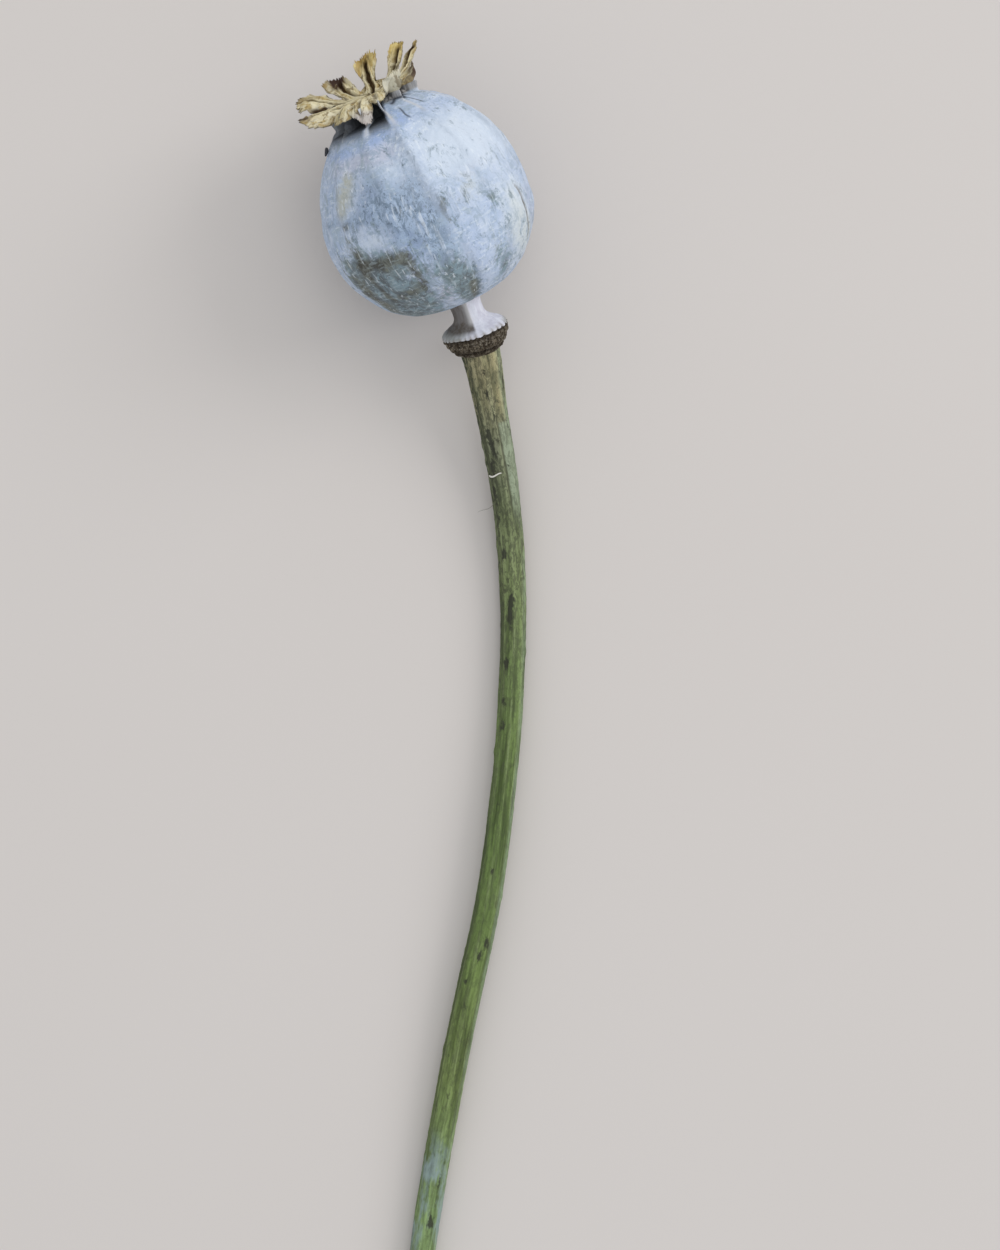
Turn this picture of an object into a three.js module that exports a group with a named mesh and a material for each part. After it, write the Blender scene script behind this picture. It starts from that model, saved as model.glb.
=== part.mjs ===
// A dried poppy seed head with its cut stem, lying on a flat surface.
//
// Millimetres, +Z up. The stem runs along Y and the head is at its +Y end. The origin is on the surface,
// under the middle of the whole plant.
//
// The plant is laid out about the middle of the capsule. The capsule and its crown share the head's axis,
// which leans to the left and lifts the crown off the surface. The neck, the receptacle and the stem are
// stretches of one curve, the stalk, which rises from the cut end to the base of the capsule.

import * as THREE from "three";

// ---- driving dimensions, in millimetres, and in degrees where the name says so ----

const carpels = 11; // the ridges, the pores and the rays of the crown all come in this number
const gap = 0.3; // left between pieces that touch

const head = {
  leanDeg: 25, // to the left of +Y, seen from above
  tiltDeg: 13, // raises the crown end
};

const capsule = {
  radius: 17, // at the widest ring, on a ridge
  above: 20.2, // half height of the curve that the wall follows above the widest ring, nearly an ellipse
  below: 16.3, // the same below it, where the wall is fuller than an ellipse
  base: -16, // flat foot that sits on the neck, measured from the widest ring
  top: 19.1, // where the wall ends under the crown
  throat: 6, // least radius of the wall there
  lopsided: 0.5, // the shoulders sit this far to the right of the axis
  ridgeStartDeg: 17, // azimuth of the first ridge under the crown
  ridgeTwistDeg: 0.1, // each ridge drifts round by this much per millimetre going down
  finRadius: 7.5, // reach of the fins that carry the crown
  poreDepth: 1.8, // the hollows between the fins
};

const crown = {
  height: 20.6, // of the hub, where the rays meet, above the widest ring
  rayStartDeg: 24.2, // azimuth of the first ray
  sinus: 5.6, // radius at which neighbouring rays part
  reach: [11.8, 12.7, 9.4, 9.8, 12.5, 12.8, 9.2, 8, 8, 8.6, 9], // of each ray, going round
  rise: [4.4, 5, 5.2, 4.2, 3.2, 1.4, 0.2, -0.9, -0.7, 0.7, 1.8], // of each ray's tip above the hub
  fold: 0.8, // the margins of a ray hang this far below its crest
  hubThickness: 1.2,
  rayThickness: 0.8,
};

// The stalk's centreline, from the cut end to the capsule, about the middle of the capsule.
const stalkPoints = [
  [-2.3, -189, -15.2],
  [-0.6, -172, -15.1],
  [2.6, -152.3, -14.6],
  [6.1, -134, -14.0],
  [10.1, -115.3, -13.7],
  [12.4, -99, -14.0],
  [13.8, -84, -14.8],
  [14.4, -68.6, -15.21],
  [14.0, -55.6, -14.8],
  [12.6, -42.9, -13.4],
  [10.5, -31, -10.4],
  [9.15, -23.8, -7.5],
  [7.95, -19.35, -5.75],
  [6.1, -14.2, -3.7],
  [4.7, -10.6, -2.75],
];

// Radii along the stalk. Each height is measured up the curve from the flange, the stalk's widest ring.
const flangeToCapsule = 5.6;
const receptacleProfile = [
  [-3.6, 3.4],
  [-3.2, 3.9],
  [-2.4, 4.7],
  [-1.2, 5.3],
  [-0.3, 5.45],
];
const neckProfile = [
  [0, 5.45],
  [0.2, 5.6],
  [0.5, 5.3],
  [1, 4.4],
  [1.6, 3.5],
  [2.4, 2.85],
  [3.6, 2.65],
  [5.1, 2.75],
];
const stem = {
  radius: 2.12,
  flare: 1.03, // extra radius just under the receptacle
  flareLength: 12, // over which that dies away
  ribs: 8,
  ribHeight: 0.05, // as a share of the radius
};

const seed = { length: 1.5, width: 0.9, heightOnWall: 16, azimuthDeg: 200 };

// ---- helpers ----

const radians = THREE.MathUtils.degToRad;
const spacing = (2 * Math.PI) / carpels;

// Azimuths on the head count from the right-hand side, going round by way of the side that faces down.
const azimuthOf = (p) => Math.atan2(-p.z, p.x);

function mapVertices(geometry, change) {
  const position = geometry.getAttribute("position");
  const p = new THREE.Vector3();
  for (let i = 0; i < position.count; i++) {
    p.fromBufferAttribute(position, i);
    change(p);
    position.setXYZ(i, p.x, p.y, p.z);
  }
  geometry.computeVertexNormals();
  return geometry;
}

// 0 at the low edge, 1 at the high one, with no slope at either.
const smoothStep = (x, low, high) => THREE.MathUtils.smoothstep(x, low, high);

// How far an angle is past the nearest of a ring of evenly spaced marks, as a share of half their spacing.
function pastMark(azimuth, start) {
  const turns = (azimuth - start) / spacing;
  return { index: THREE.MathUtils.euclideanModulo(Math.round(turns), carpels), share: 2 * (turns - Math.round(turns)) };
}

// ---- capsule: an ellipse above the widest ring and a fuller curve below it, with a ridge on each septum ----

function wallRadius(h) {
  if (h >= 0) return Math.max(capsule.throat, capsule.radius * Math.sqrt(1 - (h / capsule.above) ** 2.1));
  return capsule.radius * (1 - (-h / capsule.below) ** 2.6) ** (1 / 2.8);
}

function capsuleRadius(azimuth, h) {
  const twist = radians(capsule.ridgeTwistDeg) * (capsule.top - h);
  const across = Math.abs(pastMark(azimuth - twist, radians(capsule.ridgeStartDeg)).share);
  const ridge = Math.cos((across * Math.PI) / 2) ** 2; // 1 on the ridge, 0 halfway to the next
  const depth = 0.006 + 0.09 * smoothStep(-h, 9, 15) + 0.04 * smoothStep(h, 10, 16);
  const wall = wallRadius(h) * (1 - depth * (1 - ridge));
  const under = smoothStep(h, 16, 18); // 1 in the band of pores under the crown
  const fin = Math.max(wall, capsule.finRadius * under);
  const pore = wall - capsule.poreDepth * under;
  return THREE.MathUtils.lerp(pore, fin, under > 0 ? ridge ** 2 : 1);
}

function makeCapsule() {
  const bottomRings = [-16, -15.6, -14.8, -13.4, -11.5, -9, -6, -3];
  const topRings = [0, 3, 6, 8.8, 11.3, 13.2, 14.8, 16, 16.8, 17.5, 18.1, 18.6, 19.1];
  const profile = [new THREE.Vector2(0, capsule.base)];
  for (const h of [...bottomRings, ...topRings]) profile.push(new THREE.Vector2(1, h));
  profile.push(new THREE.Vector2(0, capsule.top));
  return mapVertices(new THREE.LatheGeometry(profile, carpels * 6), (p) => {
    const r = capsuleRadius(azimuthOf(p), p.y);
    p.x = p.x * r + capsule.lopsided * smoothStep(p.y, 1, 8) * (1 - smoothStep(p.y, 15, 19));
    p.z *= r;
  });
}

// ---- crown: a cupped disc cut into rays, each folded like a roof along its crest ----

function crownSurface(azimuth, share, underneath) {
  const { index, share: across } = pastMark(azimuth, radians(crown.rayStartDeg));
  const beside = THREE.MathUtils.euclideanModulo(index + Math.sign(across), carpels);
  const blend = 0.5 * Math.abs(across) ** 3; // neighbours agree where they meet
  const reach = THREE.MathUtils.lerp(crown.reach[index], crown.reach[beside], blend);
  const rise = THREE.MathUtils.lerp(crown.rise[index], crown.rise[beside], blend);
  const tongue = Math.sqrt(1 - Math.abs(across) ** 2.4);
  const radius = share * (crown.sinus + (reach - crown.sinus) * tongue);
  const thickness = THREE.MathUtils.lerp(crown.hubThickness, crown.rayThickness, share);
  const top = rise * (radius / reach) ** 2 - crown.fold * across ** 2 * share;
  return { radius, height: underneath ? Math.max(top - thickness, -crown.hubThickness) : top };
}

function makeCrown() {
  const rings = [0.25, 0.45, 0.62, 0.78, 0.9, 1];
  const profile = [new THREE.Vector2(0, -1)];
  for (const share of rings) profile.push(new THREE.Vector2(share, -1));
  for (const share of rings.reverse()) profile.push(new THREE.Vector2(share, 0));
  profile.push(new THREE.Vector2(0, 0));
  return mapVertices(new THREE.LatheGeometry(profile, carpels * 8), (p) => {
    const share = Math.hypot(p.x, p.z);
    const azimuth = azimuthOf(p);
    const at = crownSurface(azimuth, share, p.y < -0.5);
    p.set(at.radius * Math.cos(azimuth), crown.height + at.height, -at.radius * Math.sin(azimuth));
  });
}

// ---- stalk: the neck, the receptacle and the stem, each a cylinder bent along its stretch of the curve ----

const stalk = new THREE.CatmullRomCurve3(
  stalkPoints.map((p) => new THREE.Vector3(...p)),
  false,
  "centripetal",
);
stalk.arcLengthDivisions = 2000;
const capsuleFoot = headFrame(new THREE.Vector3(0, capsule.base, 0));
const footDistance = distanceNear(capsuleFoot);
const flangeDistance = footDistance - flangeToCapsule;

// A point of the head's own frame, whose +Y is the axis, in the plant's frame.
function headFrame(p) {
  return p.applyEuler(new THREE.Euler(radians(head.tiltDeg), 0, radians(head.leanDeg), "ZXY"));
}

// How far along the stalk its nearest point to p is.
function distanceNear(p) {
  const length = stalk.getLength();
  const steps = 4000;
  let best = 0;
  for (let i = 1; i <= steps; i++) {
    const nearer = stalk.getPointAt(i / steps).distanceTo(p) < stalk.getPointAt(best / steps).distanceTo(p);
    if (nearer) best = i;
  }
  return (best / steps) * length;
}

// A closed tube over the stalk from one distance to another. radiusAt takes the share of the way along and the
// angle round it, which counts from the side of the stalk that is on the right.
function alongStalk(from, to, sides, steps, radiusAt) {
  const length = stalk.getLength();
  const up = new THREE.Vector3(0, 0, 1);
  return mapVertices(new THREE.CylinderGeometry(1, 1, 1, sides, steps), (p) => {
    const share = THREE.MathUtils.clamp(p.y + 0.5, 0, 1);
    const at = (from + (to - from) * share) / length;
    const forward = stalk.getTangentAt(at);
    const right = new THREE.Vector3().crossVectors(forward, up).normalize();
    const over = new THREE.Vector3().crossVectors(right, forward);
    const angle = Math.atan2(-p.z, p.x);
    const r = Math.hypot(p.x, p.z) < 0.5 ? 0 : radiusAt(share, angle);
    p.copy(stalk.getPointAt(at));
    p.addScaledVector(right, r * Math.cos(angle)).addScaledVector(over, -r * Math.sin(angle));
  });
}

// The radius that a profile of [height, radius] rows gives at a height, in straight steps.
function profileRadius(profile, height) {
  const last = profile.length - 1;
  const next = THREE.MathUtils.clamp(profile.findIndex((row) => row[0] >= height), 1, last);
  const [low, high] = [profile[next - 1], profile[next]];
  const share = THREE.MathUtils.clamp((height - low[0]) / (high[0] - low[0]), 0, 1);
  return THREE.MathUtils.lerp(low[1], high[1], share);
}

function makeProfiled(profile, sides, stepsPerMillimetre) {
  const [low, high] = [profile[0][0], profile.at(-1)[0]];
  const steps = Math.ceil((high - low) * stepsPerMillimetre);
  return alongStalk(flangeDistance + low, flangeDistance + high, sides, steps, (share) =>
    profileRadius(profile, low + (high - low) * share),
  );
}

function makeStem() {
  const top = flangeDistance + receptacleProfile[0][0] - gap;
  return alongStalk(0, top, stem.ribs * 2, 64, (share, angle) => {
    const below = top * (1 - share);
    const radius = stem.radius + stem.flare * Math.exp(-below / stem.flareLength);
    return radius * (1 + stem.ribHeight * Math.cos(stem.ribs * angle));
  });
}

// ---- loose seed, caught on the wall just under a pore ----

function makeSeed() {
  const azimuth = radians(seed.azimuthDeg);
  const out = capsuleRadius(azimuth, seed.heightOnWall) + seed.width / 2 + gap;
  return mapVertices(new THREE.SphereGeometry(0.5, 10, 8), (p) => {
    p.multiply(new THREE.Vector3(seed.width, seed.length, seed.width));
    p.add(new THREE.Vector3(out * Math.cos(azimuth), seed.heightOnWall, -out * Math.sin(azimuth)));
  });
}

// ---- the plant ----

function material(color, roughness) {
  return new THREE.MeshStandardMaterial({ color, roughness, metalness: 0 });
}

function piece(name, geometry, look) {
  const mesh = new THREE.Mesh(geometry, look);
  mesh.name = name;
  return mesh;
}

const headGroup = new THREE.Group();
headGroup.rotation.set(radians(head.tiltDeg), 0, radians(head.leanDeg), "ZXY");
headGroup.add(
  piece("capsule", makeCapsule(), material("#aebfd2", 0.75)),
  piece("crown", makeCrown(), material("#cdbf94", 0.85)),
  piece("loose_seed", makeSeed(), material("#22242a", 0.7)),
);

const plant = new THREE.Group();
plant.add(
  headGroup,
  piece("neck", makeProfiled(neckProfile, 24, 2.4), material("#c9c8d2", 0.7)),
  piece("receptacle", makeProfiled(receptacleProfile, 24, 2.4), material("#6e6455", 0.95)),
  piece("stem", makeStem(), material("#66754a", 0.75)),
);

// The origin goes to the middle of the plant's footprint, on the surface it lies on.
const box = new THREE.Box3().setFromObject(plant, true);
const middle = box.getCenter(new THREE.Vector3());
plant.position.set(-middle.x, -middle.y, -box.min.z);

export default plant;
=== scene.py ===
import math
import bpy
import numpy as np
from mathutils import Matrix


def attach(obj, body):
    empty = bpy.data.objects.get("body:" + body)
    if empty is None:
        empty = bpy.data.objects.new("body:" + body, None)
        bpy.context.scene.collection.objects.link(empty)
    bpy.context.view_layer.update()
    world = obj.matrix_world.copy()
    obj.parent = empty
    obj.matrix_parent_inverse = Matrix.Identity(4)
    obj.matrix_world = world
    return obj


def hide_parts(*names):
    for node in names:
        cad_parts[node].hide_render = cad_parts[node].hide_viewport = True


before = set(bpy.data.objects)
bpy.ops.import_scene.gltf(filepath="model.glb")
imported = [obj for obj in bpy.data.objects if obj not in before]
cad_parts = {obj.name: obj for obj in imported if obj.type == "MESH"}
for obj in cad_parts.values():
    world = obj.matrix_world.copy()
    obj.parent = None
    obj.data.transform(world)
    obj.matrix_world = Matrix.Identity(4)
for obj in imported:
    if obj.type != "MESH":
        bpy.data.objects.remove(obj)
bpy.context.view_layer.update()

# The dried seed head lies on a pale floor. Lengths in the dictionaries are in millimetres and angles in
# degrees; meshes are written in metres. On the head, +Y is the axis, and an azimuth counts from the
# right-hand side by way of the side that faces down.

carpels = 11
head = dict(lean=25.0, tilt=13.0, foot=16.0)


def turnOfHead():
    lean, tilt = math.radians(head["lean"]), math.radians(head["tilt"])
    aboutZ = np.array([[math.cos(lean), -math.sin(lean), 0], [math.sin(lean), math.cos(lean), 0],
                       [0, 0, 1]])
    aboutX = np.array([[1, 0, 0], [0, math.cos(tilt), -math.sin(tilt)],
                       [0, math.sin(tilt), math.cos(tilt)]])
    return aboutZ @ aboutX


headTurn = turnOfHead()


def middleOfCapsule():
    # the foot is a ring about the axis, so its mean is on the axis, a known way below the widest ring
    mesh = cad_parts["capsule"].data
    points = np.empty(len(mesh.vertices) * 3)
    mesh.vertices.foreach_get("co", points)
    points = points.reshape(-1, 3) * 1000
    along = points @ headTurn[:, 1]
    foot = points[along < along.min() + 0.02]
    foot = foot.mean(axis=0)
    return foot + head["foot"] * headTurn[:, 1]


centre = middleOfCapsule()
print("capsule centre, mm:", np.round(centre, 2))


def smooth(x, low, high):
    # 0 below low, 1 above high, with no slope at either
    t = np.clip((np.asarray(x, float) - low) / (high - low), 0, 1)
    return t * t * (3 - 2 * t)


def bump(x, middle, width):
    # a soft bell, 1 at the middle
    return np.exp(-((np.asarray(x, float) - middle) / width) ** 2)


def mix(a, b, share):
    return a + (b - a) * share


def ripple(points, wavelength, seed, count=22):
    # a sum of plane waves in random directions, about -1 to 1, with lengths near the one asked for
    rng = np.random.default_rng(seed)
    direction = rng.normal(size=(count, 3))
    direction /= np.linalg.norm(direction, axis=1)[:, None]
    rate = 2 * np.pi / (wavelength * rng.uniform(0.7, 1.5, count))
    phase = points @ (direction * rate[:, None]).T + rng.uniform(0, 2 * np.pi, count)
    return np.sin(phase).sum(axis=-1) / math.sqrt(count)


def fromHead(points):
    return centre + points @ headTurn.T


def unit(vectors):
    return vectors / np.maximum(np.linalg.norm(vectors, axis=-1, keepdims=True), 1e-9)


def ringMesh(name, rings, first, last, marks=None):
    # rings is (rows, around, 3); first and last close the two ends as single points. marks are arrays of
    # (rows, around) or (rows, around, 3), whose end points take the mean of the row beside them.
    rows, around = rings.shape[:2]
    points = np.concatenate([rings.reshape(-1, 3), [first, last]])
    here = np.arange(rows * around).reshape(rows, around)
    beside = np.roll(here, -1, axis=1)
    quads = np.stack([here[:-1], beside[:-1], beside[1:], here[1:]], axis=-1).reshape(-1, 4)
    start = np.stack([np.full(around, rows * around), beside[0], here[0]], axis=-1)
    end = np.stack([np.full(around, rows * around + 1), here[-1], beside[-1]], axis=-1)
    corners = points[quads]
    volume = np.einsum("ij,ij->i", corners[:, 0] - points[0],
                       np.cross(corners[:, 1] - points[0], corners[:, 2] - points[0])).sum()
    if volume < 0:
        quads, start, end = quads[:, ::-1], start[:, ::-1], end[:, ::-1]
    mesh = bpy.data.meshes.new(name)
    mesh.vertices.add(len(points))
    mesh.vertices.foreach_set("co", (points * 0.001).ravel())
    loops = np.concatenate([quads.ravel(), start.ravel(), end.ravel()])
    sizes = np.concatenate([np.full(len(quads), 4), np.full(len(start) + len(end), 3)])
    mesh.loops.add(len(loops))
    mesh.loops.foreach_set("vertex_index", loops)
    mesh.polygons.add(len(sizes))
    mesh.polygons.foreach_set("loop_start", np.concatenate([[0], np.cumsum(sizes)[:-1]]))
    mesh.update(calc_edges=True)
    mesh.polygons.foreach_set("use_smooth", np.ones(len(sizes), bool))
    for mark, values in (marks or {}).items():
        flat = values.reshape(rows * around, -1)
        flat = np.concatenate([flat, [values[0].reshape(around, -1).mean(axis=0)],
                               [values[-1].reshape(around, -1).mean(axis=0)]])
        kind, field = ("FLOAT_VECTOR", "vector") if flat.shape[1] == 3 else ("FLOAT", "value")
        mesh.attributes.new(mark, kind, "POINT").data.foreach_set(field, flat.ravel())
    mesh.validate()
    piece = bpy.data.objects.new(name, mesh)
    bpy.context.scene.collection.objects.link(piece)
    return piece


def finishPiece(piece, material, slotName, *nodes):
    piece.data.materials.append(material)
    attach(piece, "root")
    if nodes:
        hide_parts(*nodes)
    print("made", piece.name, len(piece.data.polygons), "faces")


def tone(red, green, blue):
    # a colour as seen on a screen, 0 to 255, as the linear light that a shader takes
    return tuple(((c / 255 + 0.055) / 1.055) ** 2.4 if c > 10 else c / 3294.6
                 for c in (red, green, blue)) + (1.0,)


def put(tree, kind, inputs=(), **settings):
    node = tree.nodes.new(kind)
    for key, value in settings.items():
        setattr(node, key, value)
    for key, value in dict(inputs).items():
        if isinstance(value, bpy.types.NodeSocket):
            tree.links.new(value, node.inputs[key])
        else:
            node.inputs[key].default_value = value
    return node


def calc(tree, operation, a, b=0.0, clamp=False):
    return put(tree, "ShaderNodeMath", {0: a, 1: b}, operation=operation, use_clamp=clamp).outputs[0]


def blendTone(tree, share, a, b, kind="MIX"):
    node = put(tree, "ShaderNodeMix", {0: share, 6: a, 7: b}, data_type="RGBA", blend_type=kind)
    return node.outputs[2]


def layer(tree, colour, share, red, green, blue):
    # the tone laid over the colour by the share
    return blendTone(tree, share, colour, tone(red, green, blue))


def between(tree, value, low, high, toLow=0.0, toHigh=1.0):
    # a soft step from toLow to toHigh as the value goes from low to high
    return put(tree, "ShaderNodeMapRange", {0: value, 1: low, 2: high, 3: toLow, 4: toHigh},
               interpolation_type="SMOOTHSTEP").outputs[0]


def mark(tree, name, field="Fac"):
    return put(tree, "ShaderNodeAttribute", attribute_name=name).outputs[field]


def weighed(tree, name, strength, clamp=False):
    return calc(tree, "MULTIPLY", mark(tree, name), strength, clamp)


def grainNoise(tree, vector, millimetres, detail=3.0, rough=0.55, twist=0.0):
    return put(tree, "ShaderNodeTexNoise", {"Vector": vector, "Scale": 1000 / millimetres, "Detail": detail,
                                            "Roughness": rough, "Distortion": twist}).outputs["Fac"]


def stretched(tree, vector, x, y, z):
    return put(tree, "ShaderNodeVectorMath", {0: vector, 1: (x, y, z)}, operation="MULTIPLY").outputs[0]


def effectGroup(name, inputs, outputs, build):
    group = bpy.data.node_groups.new(name, "ShaderNodeTree")
    for label, kind, value in inputs:
        socket = group.interface.new_socket(label, in_out="INPUT", socket_type=kind)
        if value is not None:
            socket.default_value = value
    for label, kind in outputs:
        group.interface.new_socket(label, in_out="OUTPUT", socket_type=kind)
    source, sink = group.nodes.new("NodeGroupInput"), group.nodes.new("NodeGroupOutput")
    for label, socket in build(group, source.outputs).items():
        group.links.new(socket, sink.inputs[label])
    return group


def useGroup(tree, group, inputs):
    node = tree.nodes.new("ShaderNodeGroup")
    node.node_tree = group
    for key, value in inputs.items():
        if isinstance(value, bpy.types.NodeSocket):
            tree.links.new(value, node.inputs[key])
        else:
            node.inputs[key].default_value = value
    return node.outputs


def buildFibres(tree, given):
    # two sizes of noise drawn out along the skin's third direction, and the same as a height
    long = put(tree, "ShaderNodeVectorMath", {0: given["Skin"], 1: (1.0, 1.0, 0.07)},
               operation="MULTIPLY").outputs[0]
    coarse = put(tree, "ShaderNodeTexNoise",
                 {"Vector": long, "Scale": given["Scale"], "Detail": 2.0}).outputs["Fac"]
    fineScale = calc(tree, "MULTIPLY", given["Scale"], 3.1)
    fine = put(tree, "ShaderNodeTexNoise",
               {"Vector": long, "Scale": fineScale, "Detail": 3.0, "Roughness": 0.6}).outputs["Fac"]
    both = calc(tree, "ADD", calc(tree, "MULTIPLY", coarse, 0.6), calc(tree, "MULTIPLY", fine, 0.4))
    return {"Fibres": between(tree, both, 0.36, 0.64), "Height": both}


def buildSpecks(tree, given):
    # islands of noise above a threshold, broken up by a finer noise
    long = put(tree, "ShaderNodeVectorMath", {0: given["Skin"], 1: (1.0, 1.0, 0.55)},
               operation="MULTIPLY").outputs[0]
    islands = put(tree, "ShaderNodeTexNoise",
                  {"Vector": long, "Scale": given["Scale"], "Detail": 4.0,
                   "Roughness": 0.65}).outputs["Fac"]
    high = calc(tree, "ADD", given["Threshold"], 0.05)
    step = put(tree, "ShaderNodeMapRange", {0: islands, 1: given["Threshold"], 2: high},
               interpolation_type="SMOOTHSTEP")
    return {"Specks": step.outputs[0]}


skinInput = ("Skin", "NodeSocketVector", None)
fibreGroup = effectGroup("Dry Fibres", [skinInput, ("Scale", "NodeSocketFloat", 900.0)],
                         [("Fibres", "NodeSocketFloat"), ("Height", "NodeSocketFloat")], buildFibres)
speckGroup = effectGroup("Mould Specks",
                         [skinInput, ("Scale", "NodeSocketFloat", 700.0),
                          ("Threshold", "NodeSocketFloat", 0.62)],
                         [("Specks", "NodeSocketFloat")], buildSpecks)


def newMaterial(name, viewTone):
    material = bpy.data.materials.new(name)
    material.use_nodes = True
    material.diffuse_color = viewTone
    tree = material.node_tree
    return material, tree, tree.nodes["Principled BSDF"]


def join(tree, shader, colour, roughness, height, strength, distance):
    tree.links.new(colour, shader.inputs["Base Color"])
    tree.links.new(roughness, shader.inputs["Roughness"])
    relief = put(tree, "ShaderNodeBump", {"Height": height, "Strength": strength, "Distance": distance})
    tree.links.new(relief.outputs["Normal"], shader.inputs["Normal"])


view = dict(lens=100.0, height=588.0, fromCapsule=(12.2, -68.3))
# lamps in watts and metres, placed in metres
light = dict(keyPower=8.5, keySize=0.9, keyPlace=(1.2, 0.66, 0.9), keyTone=(1.0, 0.985, 0.965),
             topPower=4.6, topSize=1.2, topPlace=(0.3, 0.5, 1.7), topTone=(0.97, 0.99, 1.0),
             world=0.72, worldTone=(0.97, 0.985, 1.0, 1), floorReach=3)


def makeStage():
    camera = bpy.data.objects.new("camera", bpy.data.cameras.new("camera"))
    camera.data.lens = view["lens"]
    camera.data.sensor_width = 36
    camera.data.clip_start = 0.01
    across, along = view["fromCapsule"]
    camera.location = ((centre[0] + across) / 1000, (centre[1] + along) / 1000, view["height"] / 1000)
    bpy.context.scene.collection.objects.link(camera)
    bpy.context.scene.camera = camera

    def lamp(name, place, aim, power, size, colour):
        data = bpy.data.lights.new(name, "AREA")
        data.energy, data.size, data.color = power, size, colour
        lampObject = bpy.data.objects.new(name, data)
        lampObject.location = place
        direction = np.array(aim, float) - np.array(place, float)
        direction /= np.linalg.norm(direction)
        lampObject.rotation_euler = (math.acos(-direction[2]), 0, math.atan2(-direction[0], direction[1]))
        lampObject.visible_camera = False
        bpy.context.scene.collection.objects.link(lampObject)

    lamp("keyLight", light["keyPlace"], (0, 0.03, 0.01), light["keyPower"], light["keySize"],
         light["keyTone"])
    lamp("topLight", light["topPlace"], (0, 0.0, 0.01), light["topPower"], light["topSize"],
         light["topTone"])

    world = bpy.data.worlds.new("studio")
    world.use_nodes = True
    world.node_tree.nodes["Background"].inputs[0].default_value = light["worldTone"]
    world.node_tree.nodes["Background"].inputs[1].default_value = light["world"]
    bpy.context.scene.world = world
    bpy.context.scene.view_settings.view_transform = "Standard"

    material, tree, shader = newMaterial("paleFloor", tone(208, 203, 200))
    shader.inputs["Roughness"].default_value = 0.9
    shader.inputs["Specular IOR Level"].default_value = 0.15
    place = put(tree, "ShaderNodeTexCoord").outputs["Object"]
    cloud = put(tree, "ShaderNodeTexNoise", {"Vector": place, "Scale": 6.0, "Detail": 2.0}).outputs["Fac"]
    tree.links.new(blendTone(tree, cloud, tone(207, 201, 197), tone(211, 206, 203)),
                   shader.inputs["Base Color"])
    mesh = bpy.data.meshes.new("floor")
    reach = light["floorReach"]
    mesh.from_pydata([(-reach, -reach, 0), (reach, -reach, 0), (reach, reach, 0), (-reach, reach, 0)], [],
                     [(0, 1, 2, 3)])
    mesh.materials.append(material)
    floor = bpy.data.objects.new("floor", mesh)
    bpy.context.scene.collection.objects.link(floor)
    print("stage is set")


capsule = dict(
    radius=17.0, above=20.2, below=16.3, throat=5.6, top=20.0, lopsided=0.3,
    around=396, rows=230,
    # each ridge: its azimuth under the crown, how far it drifts round for each millimetre down, the
    # reach of the fin that it ends in, how much it stands out on the wall, and how pale the edge of its
    # fin is
    ridges=((24, 0.1, 7.6, 0.9, 0.6), (52, 0.1, 7.6, 0.8, 0.6), (84, -0.1, 7.4, 0.9, 0.6),
            (118, 0.0, 7.8, 0.7, 0.6),
            (152, 0.1, 8.2, 0.8, 0.5), (184, 0.1, 8.3, 0.6, 0.35), (215, 0.06, 8.2, 0.5, 0.15),
            (246.5, 0.12, 8.5, 0.5, 0.9),
            (272, 0.34, 8.0, 1.2, 1.0), (303, 0.3, 7.4, 0.45, 0.8), (341, 0.1, 7.4, 0.8, 0.6)),
    poreFloor=4.4,
    # the lip of the pores, highest on the right: azimuth and height
    lip=((0, 17.4), (60, 17.0), (180, 17.0), (262, 16.9), (270, 17.0), (275, 18.9), (290, 19.6),
         (335, 19.6), (360, 17.4)),
)


def wallRadius(h):
    # above the widest ring nearly an ellipse; below it, powers 2.6 and 2.8, which make the base fuller
    upper = capsule["radius"] * np.sqrt(np.clip(1 - (np.abs(h) / capsule["above"]) ** 2.1, 0, 1))
    lower = (capsule["radius"]
             * np.clip(1 - np.abs(np.minimum(h, 0) / capsule["below"]) ** 2.6, 0, 1) ** (1 / 2.8))
    return np.where(h >= 0, np.maximum(capsule["throat"], upper), lower)


def turnsFrom(azimuth, other):
    return (azimuth - other + 180) % 360 - 180


def pastRidge(azimuth, h):
    # how far past the nearest ridge, from -1 to 1 between the midlines of its two valleys, and which
    # ridge
    tops, drift = np.array(capsule["ridges"])[:, :2].T
    places = tops[:, None, None] + drift[:, None, None] * (16 - h)[None]
    away = turnsFrom(azimuth[None], places)
    ridge = np.abs(away).argmin(axis=0)
    nearest = np.take_along_axis(away, ridge[None], axis=0)[0]
    here = np.take_along_axis(places, ridge[None], axis=0)[0]
    side = np.where(nearest < 0, -1, 1)
    beside = np.take_along_axis(places, ((ridge + side) % carpels)[None], axis=0)[0]
    return nearest / (np.abs(turnsFrom(beside, here)) / 2), ridge


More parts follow.
